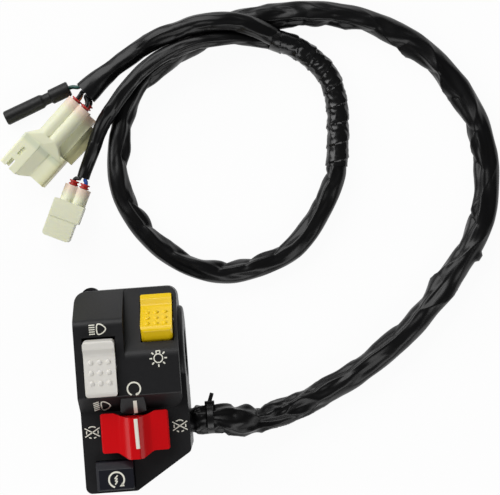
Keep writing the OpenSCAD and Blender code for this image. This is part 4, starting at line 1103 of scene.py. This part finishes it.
@dataclass
class WireMaker:
    """Runs round wires along paths with one node tree."""

    shop: Workshop
    tree: NodeTree = field(default_factory=wire_tree)

    def run(self, name: str, points: Sequence[Vector], finish: Finish) -> Object:
        """Make one wire.

        Args:
            name: Piece name.
            points: Its route, in metres.
            finish: Its finish.

        Returns:
            The wire, riding on the housing.
        """
        curve = bpy.data.curves.new(name + "_line", "CURVE")
        curve.dimensions = "3D"
        path = smooth_path(points, WIRE_STEP)
        spline = curve.splines.new("POLY")
        spline.points.add(len(path) - 1)
        for spot, place in zip(spline.points, path):
            spot.co = (*place, 1.0)
        values = {"Radius": WIRE_D * MM / 2, "Material": self.shop.paint(finish)}
        mesh = grown_mesh(name, curve, self.tree, values)
        mesh.set_sharp_from_angle(angle=math.radians(WIRE_SHARP_ANGLE))
        return self.shop.add(name, mesh, Body.HOUSING, finish)


@dataclass
class Cables:
    """The loom, its tape and tie, and the two branches.

    Attributes:
        shop: The workshop.
        housed: Length of the loom that lies inside the housing.
        loom_radius: Radius of the loom.
        loom_taper: How much thinner it is at the tape.
        taper: Where it gets thinner.
        tape_radius: Radius of the tape on the loom.
        tape_rise: How much taller the tape is over the split.
        wrap: Length of one wrap of the tape.
        main_radius: Radius of the main branch.
        flare_out: How much wider it is at its open end.
        flare_down: How much lower it is there.
        small_radius: Radius of the small branch.
        small_taper: How much thinner it is at its open end.
        taper_end: Where it gets thinner, from its open end.
    """

    shop: Workshop
    housed: float = 11.0
    loom_radius: float = 5.5
    loom_taper: float = 0.8
    taper: Flat = (405.0, 440.0)
    tape_radius: float = 4.9
    tape_rise: float = 3.0
    wrap: float = 8.5
    main_radius: float = 4.2
    flare_out: float = 1.5
    flare_down: float = 0.7
    small_radius: float = 3.25
    small_taper: float = 0.4
    taper_end: Flat = (2.0, 24.0)

    def _loom_shape(self, ring: Station, angle: float) -> Flat:
        """Give the loom sheath's form at one place.

        Args:
            ring: The station.
            angle: Angle round the sheath.

        Returns:
            Half width and half height, in millimetres.
        """
        s = ring.travel
        radius = self.loom_radius - self.loom_taper * ease(s, *self.taper)
        if s < self.housed:
            return radius, radius
        start = ease(s, self.housed, self.housed + LOOM_START_RUN)
        twist = LOOM_LEAST_TWIST + LOOM_TWIST.at(s)
        crumple = LOOM_LEAST_CRUMPLE + sum(stretch.at(s) for stretch in LOOM_CRUMPLES)
        out = LOOM_CREASES.offset(ring, angle, twist, crumple)
        out += sum(stretch.at(s) for stretch in LOOM_SWELLS)
        out += LOOM_LUMP.at(s) * max(-math.cos(angle), 0.0) ** LUMP_POWER
        reach = radius + (radius * LOOM_CREASES.oval(ring, angle) + out) * start
        under_tape = 1.0 - ease(ring.left, 0.0, TUCK_RUN)
        reach += (min(reach, radius - TUCK_GAP) - reach) * under_tape
        return reach, reach

    def _tape_shape(self, ring: Station, angle: float) -> Flat:
        """Give the tape's form at one place, with the steps of its wraps.

        Args:
            ring: The station.
            angle: Angle round the tape.

        Returns:
            Half width and half height, in millimetres.
        """
        s = ring.travel
        swell = 1.0 - ease(ring.left, 0.0, SPLIT_RUN)
        turns = s / self.wrap - angle / math.tau + LAP_WANDER * wave(s / LAP_WANDER_RUN, TAPE_SEED)
        lap = turns - math.floor(turns)
        fine = PUCKER_MIDDLE - abs(ring_noise(angle, FINE_SCALE, s / FINE_RUN)) * FINE_GAIN
        place = Vector((angle * SLANT_SCALE + s / SLANT_RUN, s / SLANT_LONG_RUN, SLANT_SEED))
        slant = PUCKER_MIDDLE - abs(noise.noise(place)) * SLANT_GAIN
        pucker = (FINE_DEPTH * fine + SLANT_DEPTH * slant) * (LEAST_PUCKER + TAPE_PUCKERS.at(s))
        out = LAP_HEIGHT * (1.0 - lap) ** LAP_POWER + pucker
        wide = self.tape_radius + TAPE_WIDEN * swell + out
        tall = self.tape_radius + self.tape_rise * swell + out
        return wide, tall

    def _main_shape(self, ring: Station, angle: float) -> Flat:
        """Give the main branch sheath's form at one place.

        Args:
            ring: The station.
            angle: Angle round the sheath.

        Returns:
            Half width and half height, in millimetres.
        """
        flare = 1.0 - ease(ring.left, 0.0, FLARE_RUN)
        calm = ease(ring.travel, 0.0, BRANCH_START_RUN) * (1.0 - FLARE_CALM * flare)
        out = MAIN_CREASES.offset(ring, angle, twist_share=0.8, crumple_share=0.8) * calm
        reach = self.main_radius * (1.0 + MAIN_CREASES.oval(ring, angle)) + out
        return reach + self.flare_out * flare, reach - self.flare_down * flare

    def _small_shape(self, ring: Station, angle: float) -> Flat:
        """Give the small branch sheath's form at one place.

        Args:
            ring: The station.
            angle: Angle round the sheath.

        Returns:
            Half width and half height, in millimetres.
        """
        calm = END_FOLDS + (1.0 - END_FOLDS) * ease(ring.left, 0.0, END_FOLDS_RUN)
        calm *= ease(ring.travel, 0.0, BRANCH_START_RUN)
        out = SMALL_CREASES.offset(ring, angle, twist_share=0.9, crumple_share=0.7) * calm
        radius = self.small_radius - self.small_taper * (1.0 - ease(ring.left, *self.taper_end))
        reach = radius * (1.0 + SMALL_CREASES.oval(ring, angle)) + out
        return reach, reach

    def _skin(
        self, node: str, route: Sequence[Vector], shape: Shape, finish: Finish, step: float, sides: int,
        hollow: bool = False,
    ) -> tuple[Object, list[Vector]]:
        """Make a sheath that stands for its CAD solid.

        Args:
            node: The CAD node that it replaces.
            route: Its route.
            shape: Its form.
            finish: Its finish.
            step: Distance between rings, in millimetres.
            sides: Points around.
            hollow: Whether its far end is open.

        Returns:
            The piece and the path it follows.
        """
        path = smooth_path(route, step * MM)
        mesh = skin_mesh(node + "_skin", stations_of(path), shape, sides, hollow)
        piece = self.shop.add(node + "_skin", mesh, Body.HOUSING, finish)
        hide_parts(node)
        return piece, path

    def build(self, plug_pieces: dict[str, list[Object]]) -> None:
        """Args:
            plug_pieces: The pieces at the end of each branch; not used.
        """
        over = TAPE_OVERLAP * MM
        split = TAPE_ROUTE[-1]
        first = TAPE_ROUTE[0] + end_direction(TAPE_ROUTE[1::-1]) * over
        last = split + end_direction(TAPE_ROUTE) * over
        wrap_route = [first, *TAPE_ROUTE[1:-1], last]
        loom = self._skin("loom_sheath", LOOM_ROUTE, self._loom_shape, SHEATH, step=0.7, sides=72)
        tape, _ = self._skin("branch_tape", wrap_route, self._tape_shape, TAPE, step=0.4, sides=96)
        main = self._skin(
            "main_branch_sheath", MAIN_BRANCH_ROUTE, self._main_shape, SHEATH, step=0.6, sides=64, hollow=True
        )
        small = self._skin(
            "small_branch_sheath", SMALL_BRANCH_ROUTE, self._small_shape, SHEATH, step=0.6, sides=56,
            hollow=True,
        )
        tie = self.shop.rounded("loom_tie", TIE_EDGES, TIE)


@dataclass(frozen=True)
class Way:
    """One wire and its place in a plug.

    Attributes:
        side: Minus one or one, for the way to the right or left.
        row: Height of the way.
        rise: Height of the wire over the middle of its sheath.
        seal: How far the seal stands out.
        finish: Finish of the wire.
    """

    side: int
    row: float
    rise: float
    seal: float
    finish: Finish


MAIN_WAYS = (
    Way(-1, 3.7, -1.0, 1.2, WIRE_ORANGE),
    Way(1, 3.7, -1.0, 3.0, WIRE_BLACK),
    Way(-1, 10.2, 1.6, 1.2, WIRE_BLACK),
    Way(1, 10.2, 1.6, 1.2, WIRE_BLACK),
)
SMALL_WAYS = (Way(-1, 5.0, 0.6, 2.4, SMALL_WIRE_BLACK), Way(1, 5.0, 0.6, 2.4, WIRE_BLUE))


@dataclass
class Plugs:
    """The two plugs, the bullet connector and the wires into them.

    Attributes:
        shop: The workshop.
        wires: What runs the wires.
        pitch: Distance between the ways of a plug.
        depth: How far a wire goes into its plug.
        spread: Distance of a wire from the middle of its sheath.
        clear: How far past the sheath a wire starts to bend.
        held: Length of a wire that shows inside its sheath.
        straight: Length of a wire before its bend.
        before_seal: Where a wire is straight again before its seal.
        lead_offset: Place of the bullet connector's wire at the sheath, to the side and up.
        lead_ends: Where that wire meets its sleeve and ends in it.
    """

    shop: Workshop
    wires: WireMaker
    pitch: float = 5.2
    depth: float = 8.4
    spread: float = 1.3
    clear: float = 0.3
    held: float = 5.0
    straight: float = 0.6
    before_seal: float = 1.0
    lead_offset: Flat = (4.2, -0.2)
    lead_ends: Flat = (-1.2, 9.0)

    def _plug_wires(
        self, name: str, route: Sequence[Vector], plug: PlugPlace, ways: Sequence[Way]
    ) -> list[Object]:
        """Run the wires from a sheath into its plug.

        Args:
            name: Start of the pieces' names.
            route: Route of the sheath.
            plug: The plug.
            ways: The wires and their places.

        Returns:
            The wires.
        """
        leave = end_direction(route)
        across = leave.cross(UP).normalized()
        made = []
        for way in ways:
            start = route[-1] / MM + leave * self.clear - across * way.side * self.spread + UP * way.rise
            place = (way.side * self.pitch / 2, way.row)
            points = [
                (start - leave * self.held) * MM,
                start * MM,
                (start + leave * self.straight) * MM,
                plug.point((-way.seal - self.before_seal, *place)),
                plug.point((self.depth, *place)),
            ]
            made.append(self.wires.run(f"{name}_{len(made) + 1}", points, way.finish))
        return made

    def _bullet_wire(self) -> Object:
        """Run the wire of the bullet connector.

        Returns:
            The wire.
        """
        leave = end_direction(MAIN_BRANCH_ROUTE)
        side, rise = self.lead_offset
        start = MAIN_BRANCH_ROUTE[-1] / MM + leave * self.clear + leave.cross(UP) * side + UP * rise
        ends = [BULLET.point((end, 0, 0)) for end in self.lead_ends]
        points = [(start - leave * self.held) * MM, start * MM, *ends]
        return self.wires.run("bullet_lead", points, WIRE_GREEN)

    def build(self) -> dict[str, list[Object]]:
        """Make the plugs and their wires.

        Returns:
            The pieces at the end of each branch.
        """
        nodes = self.shop.frame["nodes"]
        main_wires = self._plug_wires("main_wire", MAIN_BRANCH_ROUTE, MAIN_PLUG, MAIN_WAYS)
        small_wires = self._plug_wires("small_wire", SMALL_BRANCH_ROUTE, SMALL_PLUG, SMALL_WAYS)
        lead = self._bullet_wire()
        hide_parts("main_plug_wires")
        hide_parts("small_plug_wires")
        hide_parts("bullet_wire")
        main = [
            self.shop.rounded("main_plug_housing", PLUG_EDGES, MAIN_NYLON),
            self.shop.rounded("main_plug_seals", SEAL_EDGES, SEAL_RED),
            self.shop.rounded("bullet_sleeve", SLEEVE_EDGES, SLEEVE),
            nodes["main_plug_terminals"],
            nodes["bullet_terminal"],
            lead,
            *main_wires,
        ]
        small = [
            self.shop.rounded("small_plug_housing", PLUG_EDGES, SMALL_NYLON),
            self.shop.rounded("small_plug_seals", SEAL_EDGES, SEAL_RED),
            nodes["small_plug_terminals"],
            *small_wires,
        ]
        return {"main": main, "small": small}


@dataclass(frozen=True)
class Stroke:
    """One painted line of a sign, in millimetres; it may end in another width or join its start."""

    points: tuple[Flat, ...]
    width: float = 0.55
    last_width: float | None = None
    closed: bool = False


ARC_STEP = 8.0
CUTS_PER_CORNER = 6


def arc(radius: float, start: float, end: float, width: float) -> Stroke:
    """Draw part of a circle.

    Args:
        radius: Its radius.
        start: First angle, in degrees.
        end: Last angle.
        width: Line width.

    Returns:
        The stroke.
    """
    count = max(4, round(abs(end - start) / ARC_STEP))
    angles = [math.radians(start + (end - start) * index / count) for index in range(count + 1)]
    return Stroke(tuple((radius * math.cos(angle), radius * math.sin(angle)) for angle in angles), width)


def lamp_outline(height: float) -> Stroke:
    """Draw the lamp of the beam signs.

    Args:
        height: Its height.

    Returns:
        The stroke.
    """
    rough = [
        (-0.25, 0.72), (0.35, 0.95), (1.5, 0.86), (2.7, 0.52), (3.45, 0.16),
        (3.45, -0.16), (2.7, -0.52), (1.5, -0.86), (0.35, -0.95), (-0.25, -0.72), (-0.45, 0.0),
    ]
    points = []
    for index in range(len(rough)):
        before, first, second, after = (Vector(rough[(index + k) % len(rough)]) for k in (-1, 0, 1, 2))
        for part in range(CUTS_PER_CORNER):
            t = part / CUTS_PER_CORNER
            spot = (
                first * 2.0
                + (second - before) * t
                + (before * 2.0 - first * 5.0 + second * 4.0 - after) * t**2
                + (first * 3.0 - before - second * 3.0 + after) * t**3
            ) * 0.5
            points.append((spot.x, spot.y * height / 2.0))
    return Stroke(tuple(points), closed=True)


def beam_sign(height: float, drop: float) -> list[Stroke]:
    """Draw a headlamp with five beams.

    Args:
        height: Height of the sign.
        drop: How far the beams fall towards their ends.

    Returns:
        The strokes.
    """
    rows = [(index - 2) * height * 0.205 for index in range(5)]
    beams = [Stroke(((-1.25, y + drop / 2), (-3.85, y - drop / 2)), 0.5) for y in rows]
    return [lamp_outline(height), *beams]


def lamp_sign() -> list[Stroke]:
    """Draw a bulb with seven rays.

    Returns:
        The strokes.
    """
    strokes = [arc(1.9, 0.0, 360.0, 0.5)]
    strokes.append(Stroke(((-0.75, 1.8), (-0.85, 3.2), (0.85, 3.2), (0.75, 1.8)), 0.45))
    for angle in (0.0, 42.0, 138.0, 180.0, 222.0, 270.0, 318.0):
        ray = Vector((math.cos(math.radians(angle)), math.sin(math.radians(angle))))
        strokes.append(Stroke((tuple(ray * 2.65), tuple(ray * 3.85)), 0.6))
    return strokes


def run_sign() -> list[Stroke]:
    """Draw the open ring of the run position."""
    return [arc(2.85, -66.0, 246.0, 0.68), Stroke(((1.6, -2.15), (0.7, -2.7)), 1.05, 0.65)]


def stop_sign() -> list[Stroke]:
    """Draw the crossed broken ring of the stop positions.

    Returns:
        The strokes.
    """
    cross = [Stroke(((-3.3, -1.95 * lean), (3.3, 1.95 * lean)), 0.48) for lean in (1, -1)]
    gaps = ((52.0, 128.0), (164.0, 196.0), (-16.0, 16.0), (234.0, 258.0), (282.0, 306.0))
    return cross + [arc(2.6, start, end, 0.5) for start, end in gaps]


def start_sign() -> list[Stroke]:
    """Draw the ring with an arrow and a spark of the start button.

    Returns:
        The strokes.
    """
    ring = arc(3.35, -52.0, 254.0, 0.75)
    arrow = Stroke(((2.95, -2.15), (1.25, -3.0)), 1.9, 0.15)
    spark = ((0.55, 1.9), (-0.75, 0.55), (0.35, 0.45), (-0.6, -0.55), (0.35, -0.65), (-0.75, -2.1))
    return [ring, arrow, Stroke(spark)]


@dataclass
class Signs:
    """Painted signs, laid on the surfaces that carry them.

    Attributes:
        shop: The workshop.
        lift: How far the paint stands off its surface, in millimetres.
        cuts_across: Strips across a line.
        cut_length: Length of a line's cuts, in millimetres.
        above: Height that the paint is dropped from, in metres.
    """

    shop: Workshop
    lift: float = 0.05
    cuts_across: int = 6
    cut_length: float = 0.2
    above: float = 0.08

    def _spread(self, stroke: Stroke) -> list[tuple[Vector, Vector, float]]:
        """Cut a stroke into close points with their sideways directions.

        Args:
            stroke: The stroke.

        Returns:
            Point, direction across and half width, for each cut.
        """
        corners = [Vector(point) for point in stroke.points]
        if stroke.closed:
            corners.append(corners[0].copy())
        dense = []
        for first, second in zip(corners, corners[1:]):
            count = max(1, math.ceil((second - first).length / self.cut_length))
            dense += [first.lerp(second, part / count) for part in range(count)]
        if not stroke.closed:
            dense.append(corners[-1])
        last = len(dense) - 1
        end_width = stroke.width if stroke.last_width is None else stroke.last_width
        result = []
        for index, spot in enumerate(dense):
            before = dense[index - 1] if index > 0 or stroke.closed else spot
            after = dense[(index + 1) % len(dense)] if index < last or stroke.closed else spot
            along = (after - before).normalized()
            width = stroke.width + (end_width - stroke.width) * index / max(last, 1)
            result.append((spot, Vector((-along.y, along.x)), width / 2.0))
        return result

    def lay(
        self, name: str, strokes: Sequence[Stroke], middle: Flat, carrier: Object, body: Body
    ) -> None:
        """Paint a sign on a piece.

        Args:
            name: Piece name.
            strokes: The sign.
            middle: Its middle, in millimetres.
            carrier: The piece that carries it.
            body: The body it moves with.
        """
        tree = BVHTree.FromPolygons(
            [vertex.co for vertex in carrier.data.vertices],
            [face.vertices[:] for face in carrier.data.polygons],
        )
        work = bmesh.new()

        def drop(spot: Vector) -> Vector:
            """Put a point of the sign on its carrier."""
            start = Vector(((middle[0] + spot.x) * MM, (middle[1] + spot.y) * MM, self.above))
            hit, normal, _, _ = tree.ray_cast(start, -UP)
            if hit is None:
                raise ValueError(f"{name}: nothing below {tuple(spot)}")
            return hit + normal * (self.lift * MM)

        places = [2.0 * index / self.cuts_across - 1.0 for index in range(self.cuts_across + 1)]
        for stroke in strokes:
            rows = [
                [work.verts.new(drop(spot + across * half * place)) for place in places]
                for spot, across, half in self._spread(stroke)
            ]
            if stroke.closed:
                rows.append(rows[0])
            for first, second in zip(rows, rows[1:]):
                for k in range(self.cuts_across):
                    work.faces.new((first[k], second[k], second[k + 1], first[k + 1]))
        bmesh.ops.recalc_face_normals(work, faces=work.faces)
        for face in work.faces:
            if face.normal.z < 0:
                face.normal_flip()
        sheet = bmesh.ops.extrude_face_region(work, geom=work.faces[:])
        for item in sheet["geom"]:
            if isinstance(item, bmesh.types.BMVert):
                item.co.z -= 2.0 * self.lift * MM
        bmesh.ops.recalc_face_normals(work, faces=work.faces)
        mesh = bpy.data.meshes.new(name)
        work.to_mesh(mesh)
        work.free()
        self.shop.add(name, mesh, body, SIGN_WHITE)


@dataclass(frozen=True)
class DotPad:
    """Where the nine raised dots of a rocker stand: the middle one, the steps and the lean about X."""

    middle: Point
    row: Point
    lean: float
    column: Point = (3.9, 0.0, 0.0)


DIMMER_DOTS = DotPad((-13.0, -4.46, 32.8), (0.0, -4.59, 0.33), -4.1)
LIGHT_DOTS = DotPad((12.7, 17.53, 22.73), (0.0, -2.3, 3.98), -60.0)


def dot_tree() -> NodeTree:
    """Make the node tree that puts a flat ball on every point.

    Returns:
        The tree.
    """
    tree, entry, shape = start_tree("DotsOnPad", {"Size": "Vector", "Lean": "Vector"})
    ball = new_node(tree, "GeometryNodeMeshUVSphere", {"Segments": 28, "Rings": 16, "Radius": 1.0})
    smooth = tree.nodes.new("GeometryNodeSetShadeSmooth")
    turn = tree.nodes.new("FunctionNodeEulerToRotation")
    place = tree.nodes.new("GeometryNodeInstanceOnPoints")
    join(
        tree,
        (entry, "Geometry", place, "Points"),
        (ball, "Mesh", smooth, "Geometry"),
        (smooth, "Geometry", place, "Instance"),
        (entry, "Lean", turn, "Euler"),
        (turn, "Rotation", place, "Rotation"),
        (entry, "Size", place, "Scale"),
        (place, "Instances", shape, "Geometry"),
    )
    return tree


@dataclass
class Dots:
    """Makes the raised dots of the rockers with one node tree."""

    shop: Workshop
    size: Point = (1.2, 1.2, 0.62)
    tree: NodeTree = field(default_factory=dot_tree)

    def lay(self, name: str, pad: DotPad, body: Body, finish: Finish) -> None:
        """Put nine dots on a rocker.

        Args:
            name: Piece name.
            pad: Where they stand.
            body: The body they move with.
            finish: Their finish.
        """
        column, row = Vector(pad.column), Vector(pad.row)
        spots = [(Vector(pad.middle) + column * i + row * j) * MM for j in (-1, 0, 1) for i in (-1, 0, 1)]
        points = bpy.data.meshes.new(name + "_points")
        points.from_pydata(spots, [], [])
        values = {
            "Size": Vector(self.size) * MM,
            "Lean": (math.radians(pad.lean), 0.0, 0.0),
            "Material": self.shop.paint(finish),
        }
        self.shop.add(name, grown_mesh(name, points, self.tree, values), body, finish)


@dataclass
class Controls:
    """The housing halves, the rockers, the knob and the button."""

    shop: Workshop

    def build(self) -> None:
        """Make the parts and paint their signs."""
        shop = self.shop
        front = shop.rounded("front_housing", SHELL_EDGES, HOUSING_BLACK)
        shop.rounded("rear_housing", SHELL_EDGES, HOUSING_BLACK)
        shop.rounded("dimmer_rocker", ROCKER_EDGES, IVORY, Body.DIMMER)
        shop.rounded("light_rocker", ROCKER_EDGES, YELLOW, Body.LIGHT)
        knob = shop.rounded("stop_knob", SHELL_EDGES, RED, Body.STOP)
        button = shop.rounded("start_button", SHELL_EDGES, BUTTON_BLACK, Body.START)

        dots = Dots(shop)
        dots.lay("dimmer_dots", DIMMER_DOTS, Body.DIMMER, IVORY)
        dots.lay("light_dots", LIGHT_DOTS, Body.LIGHT, YELLOW)

        signs = Signs(shop)
        pointer = [Stroke(((0.0, 3.0), (0.05, -3.2)), 1.65)]
        ridge_line = [Stroke(((-0.15, 6.6), (0.15, -6.6)), 1.65)]
        for name, strokes, middle in (
            ("sign_high_beam", beam_sign(4.8, 0.0), (-12.95, 14.5)),
            ("sign_low_beam", beam_sign(4.3, 0.8), (-13.75, -19.7)),
            ("sign_lamp", lamp_sign(), (12.8, -0.1)),
            ("sign_run", run_sign(), (1.1, -12.75)),
            ("sign_stop_left", stop_sign(), (-19.4, -31.5)),
            ("sign_stop_right", stop_sign(), (19.7, -31.35)),
            ("sign_pointer", pointer, (1.0, -21.1)),
        ):
            signs.lay(name, strokes, middle, front, Body.HOUSING)
        signs.lay("sign_start", start_sign(), (-9.6, -52.4), button, Body.START)
        signs.lay("sign_knob", ridge_line, (1.05, -32.5), knob, Body.STOP)


@dataclass
class InnerParts:
    """What the housing hides: boards, contacts, springs, screws and wires."""

    shop: Workshop
    wires: WireMaker

    def build(self) -> None:
        """Run the inner wires and paint every node that still shows."""
        made = [
            self.wires.run(f"inner_wire_{index + 1}", route, WIRE_BLACK)
            for index, route in enumerate(INNER_WIRE_ROUTES)
        ]
        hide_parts("inner_wires")
        slots = {row["node"]: row["material_slot"] for row in self.shop.frame["record"]["subparts"]}
        for name, node in self.shop.frame["nodes"].items():
            if node.hide_render:
                continue
            node.data.materials.clear()
            node.data.materials.append(self.shop.paint(SLOTS[slots[name]]))
            for face in node.data.polygons:
                face.material_index = 0
            LOG.info("%s stays as packed", name)


@dataclass(frozen=True)
class Lamp:
    """One soft area light, with lengths in metres and its power in watts."""

    name: str
    place: Point
    aim: Point
    size: Flat
    power: float

    def build(self) -> None:
        """Put the light into the scene."""
        data = bpy.data.lights.new(self.name, "AREA")
        data.shape = "RECTANGLE"
        data.size, data.size_y = self.size
        data.energy = self.power
        lamp = placed(self.name, data)
        lamp.location = self.place
        direction = Vector(self.aim) - Vector(self.place)
        lamp.rotation_euler = direction.to_track_quat("-Z", "Y").to_euler()


LAMPS = (
    Lamp("key_light", (-0.75, 1.0, 0.9), (0.05, 0.04, 0.0), (1.9, 1.1), 26.0),
    Lamp("fill_light", (0.35, -1.05, 0.8), (0.06, 0.05, 0.0), (1.4, 0.8), 9.0),
)
WHITE = (1.0, 1.0, 1.0, 1.0)


@dataclass(frozen=True)
class Studio:
    """The floor, the world and the lamps.

    Attributes:
        world_strength: Strength of the plain surrounding light.
        white_share: How white the floor looks where nothing shades it.
        grey: Brightness of the floor that takes the shadow.
        half: Half the floor's width, in metres.
        gap: How far the floor lies below the object, in millimetres.
    """

    world_strength: float = 0.1
    white_share: float = 0.95
    grey: float = 0.86
    half: float = 3.0
    gap: float = 0.05

    def _floor_paint(self) -> Material:
        """Make a white floor that keeps the object's shadow.

        Returns:
            The material.
        """
        material = bpy.data.materials.new("floor_white")
        material.use_nodes = True
        tree = material.node_tree
        shader = tree.nodes["Principled BSDF"]
        matt = {
            "Base Color": (self.grey, self.grey, self.grey, 1.0),
            "Roughness": 0.9,
            "Specular IOR Level": 0.0,
        }
        set_inputs(shader, matt)
        glow = new_node(tree, "ShaderNodeEmission", {"Color": WHITE, "Strength": 1.0})
        rays = tree.nodes.new("ShaderNodeLightPath")
        seen = new_node(tree, "ShaderNodeMath", operation="MAXIMUM")
        through = new_node(tree, "ShaderNodeMath", operation="MAXIMUM")
        share = new_node(tree, "ShaderNodeMath", {1: self.white_share}, operation="MULTIPLY")
        mix = tree.nodes.new("ShaderNodeMixShader")
        join(
            tree,
            (rays, "Is Camera Ray", seen, 0),
            (rays, "Is Glossy Ray", seen, 1),
            (seen, "Value", through, 0),
            (rays, "Is Transmission Ray", through, 1),
            (through, "Value", share, 0),
            (share, "Value", mix, "Fac"),
            (shader, "BSDF", mix, 1),
            (glow, "Emission", mix, 2),
            (mix, "Shader", tree.nodes["Material Output"], "Surface"),
        )
        return material

    def build(self) -> None:
        """Make the floor, the world and the lamps."""
        scene = bpy.context.scene
        scene.view_settings.view_transform = "Standard"
        world = bpy.data.worlds.new("studio")
        scene.world = world
        world.use_nodes = True
        back = world.node_tree.nodes["Background"]
        set_inputs(back, {"Color": WHITE, "Strength": self.world_strength})
        low = (FLOOR_Z - self.gap) * MM
        corners = [(x * self.half, y * self.half, low) for x, y in ((-1, -1), (1, -1), (1, 1), (-1, 1))]
        mesh = bpy.data.meshes.new("floor")
        mesh.from_pydata(corners, [], [(0, 1, 2, 3)])
        mesh.materials.append(self._floor_paint())
        placed("floor", mesh)
        for lamp in LAMPS:
            lamp.build()


def main() -> None:
    """Build the whole scene."""
    logging.basicConfig(level=logging.INFO, format="%(name)s: %(message)s")
    for old in list(bpy.data.objects):
        bpy.data.objects.remove(old)
    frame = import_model()
    shop = Workshop(frame)
    PhotoView().build()
    wires = WireMaker(shop)
    plug_pieces = Plugs(shop, wires).build()
    Cables(shop).build(plug_pieces)
    Controls(shop).build()
    InnerParts(shop, wires).build()
    Studio().build()
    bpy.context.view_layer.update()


if __name__ == "__main__":
    main()
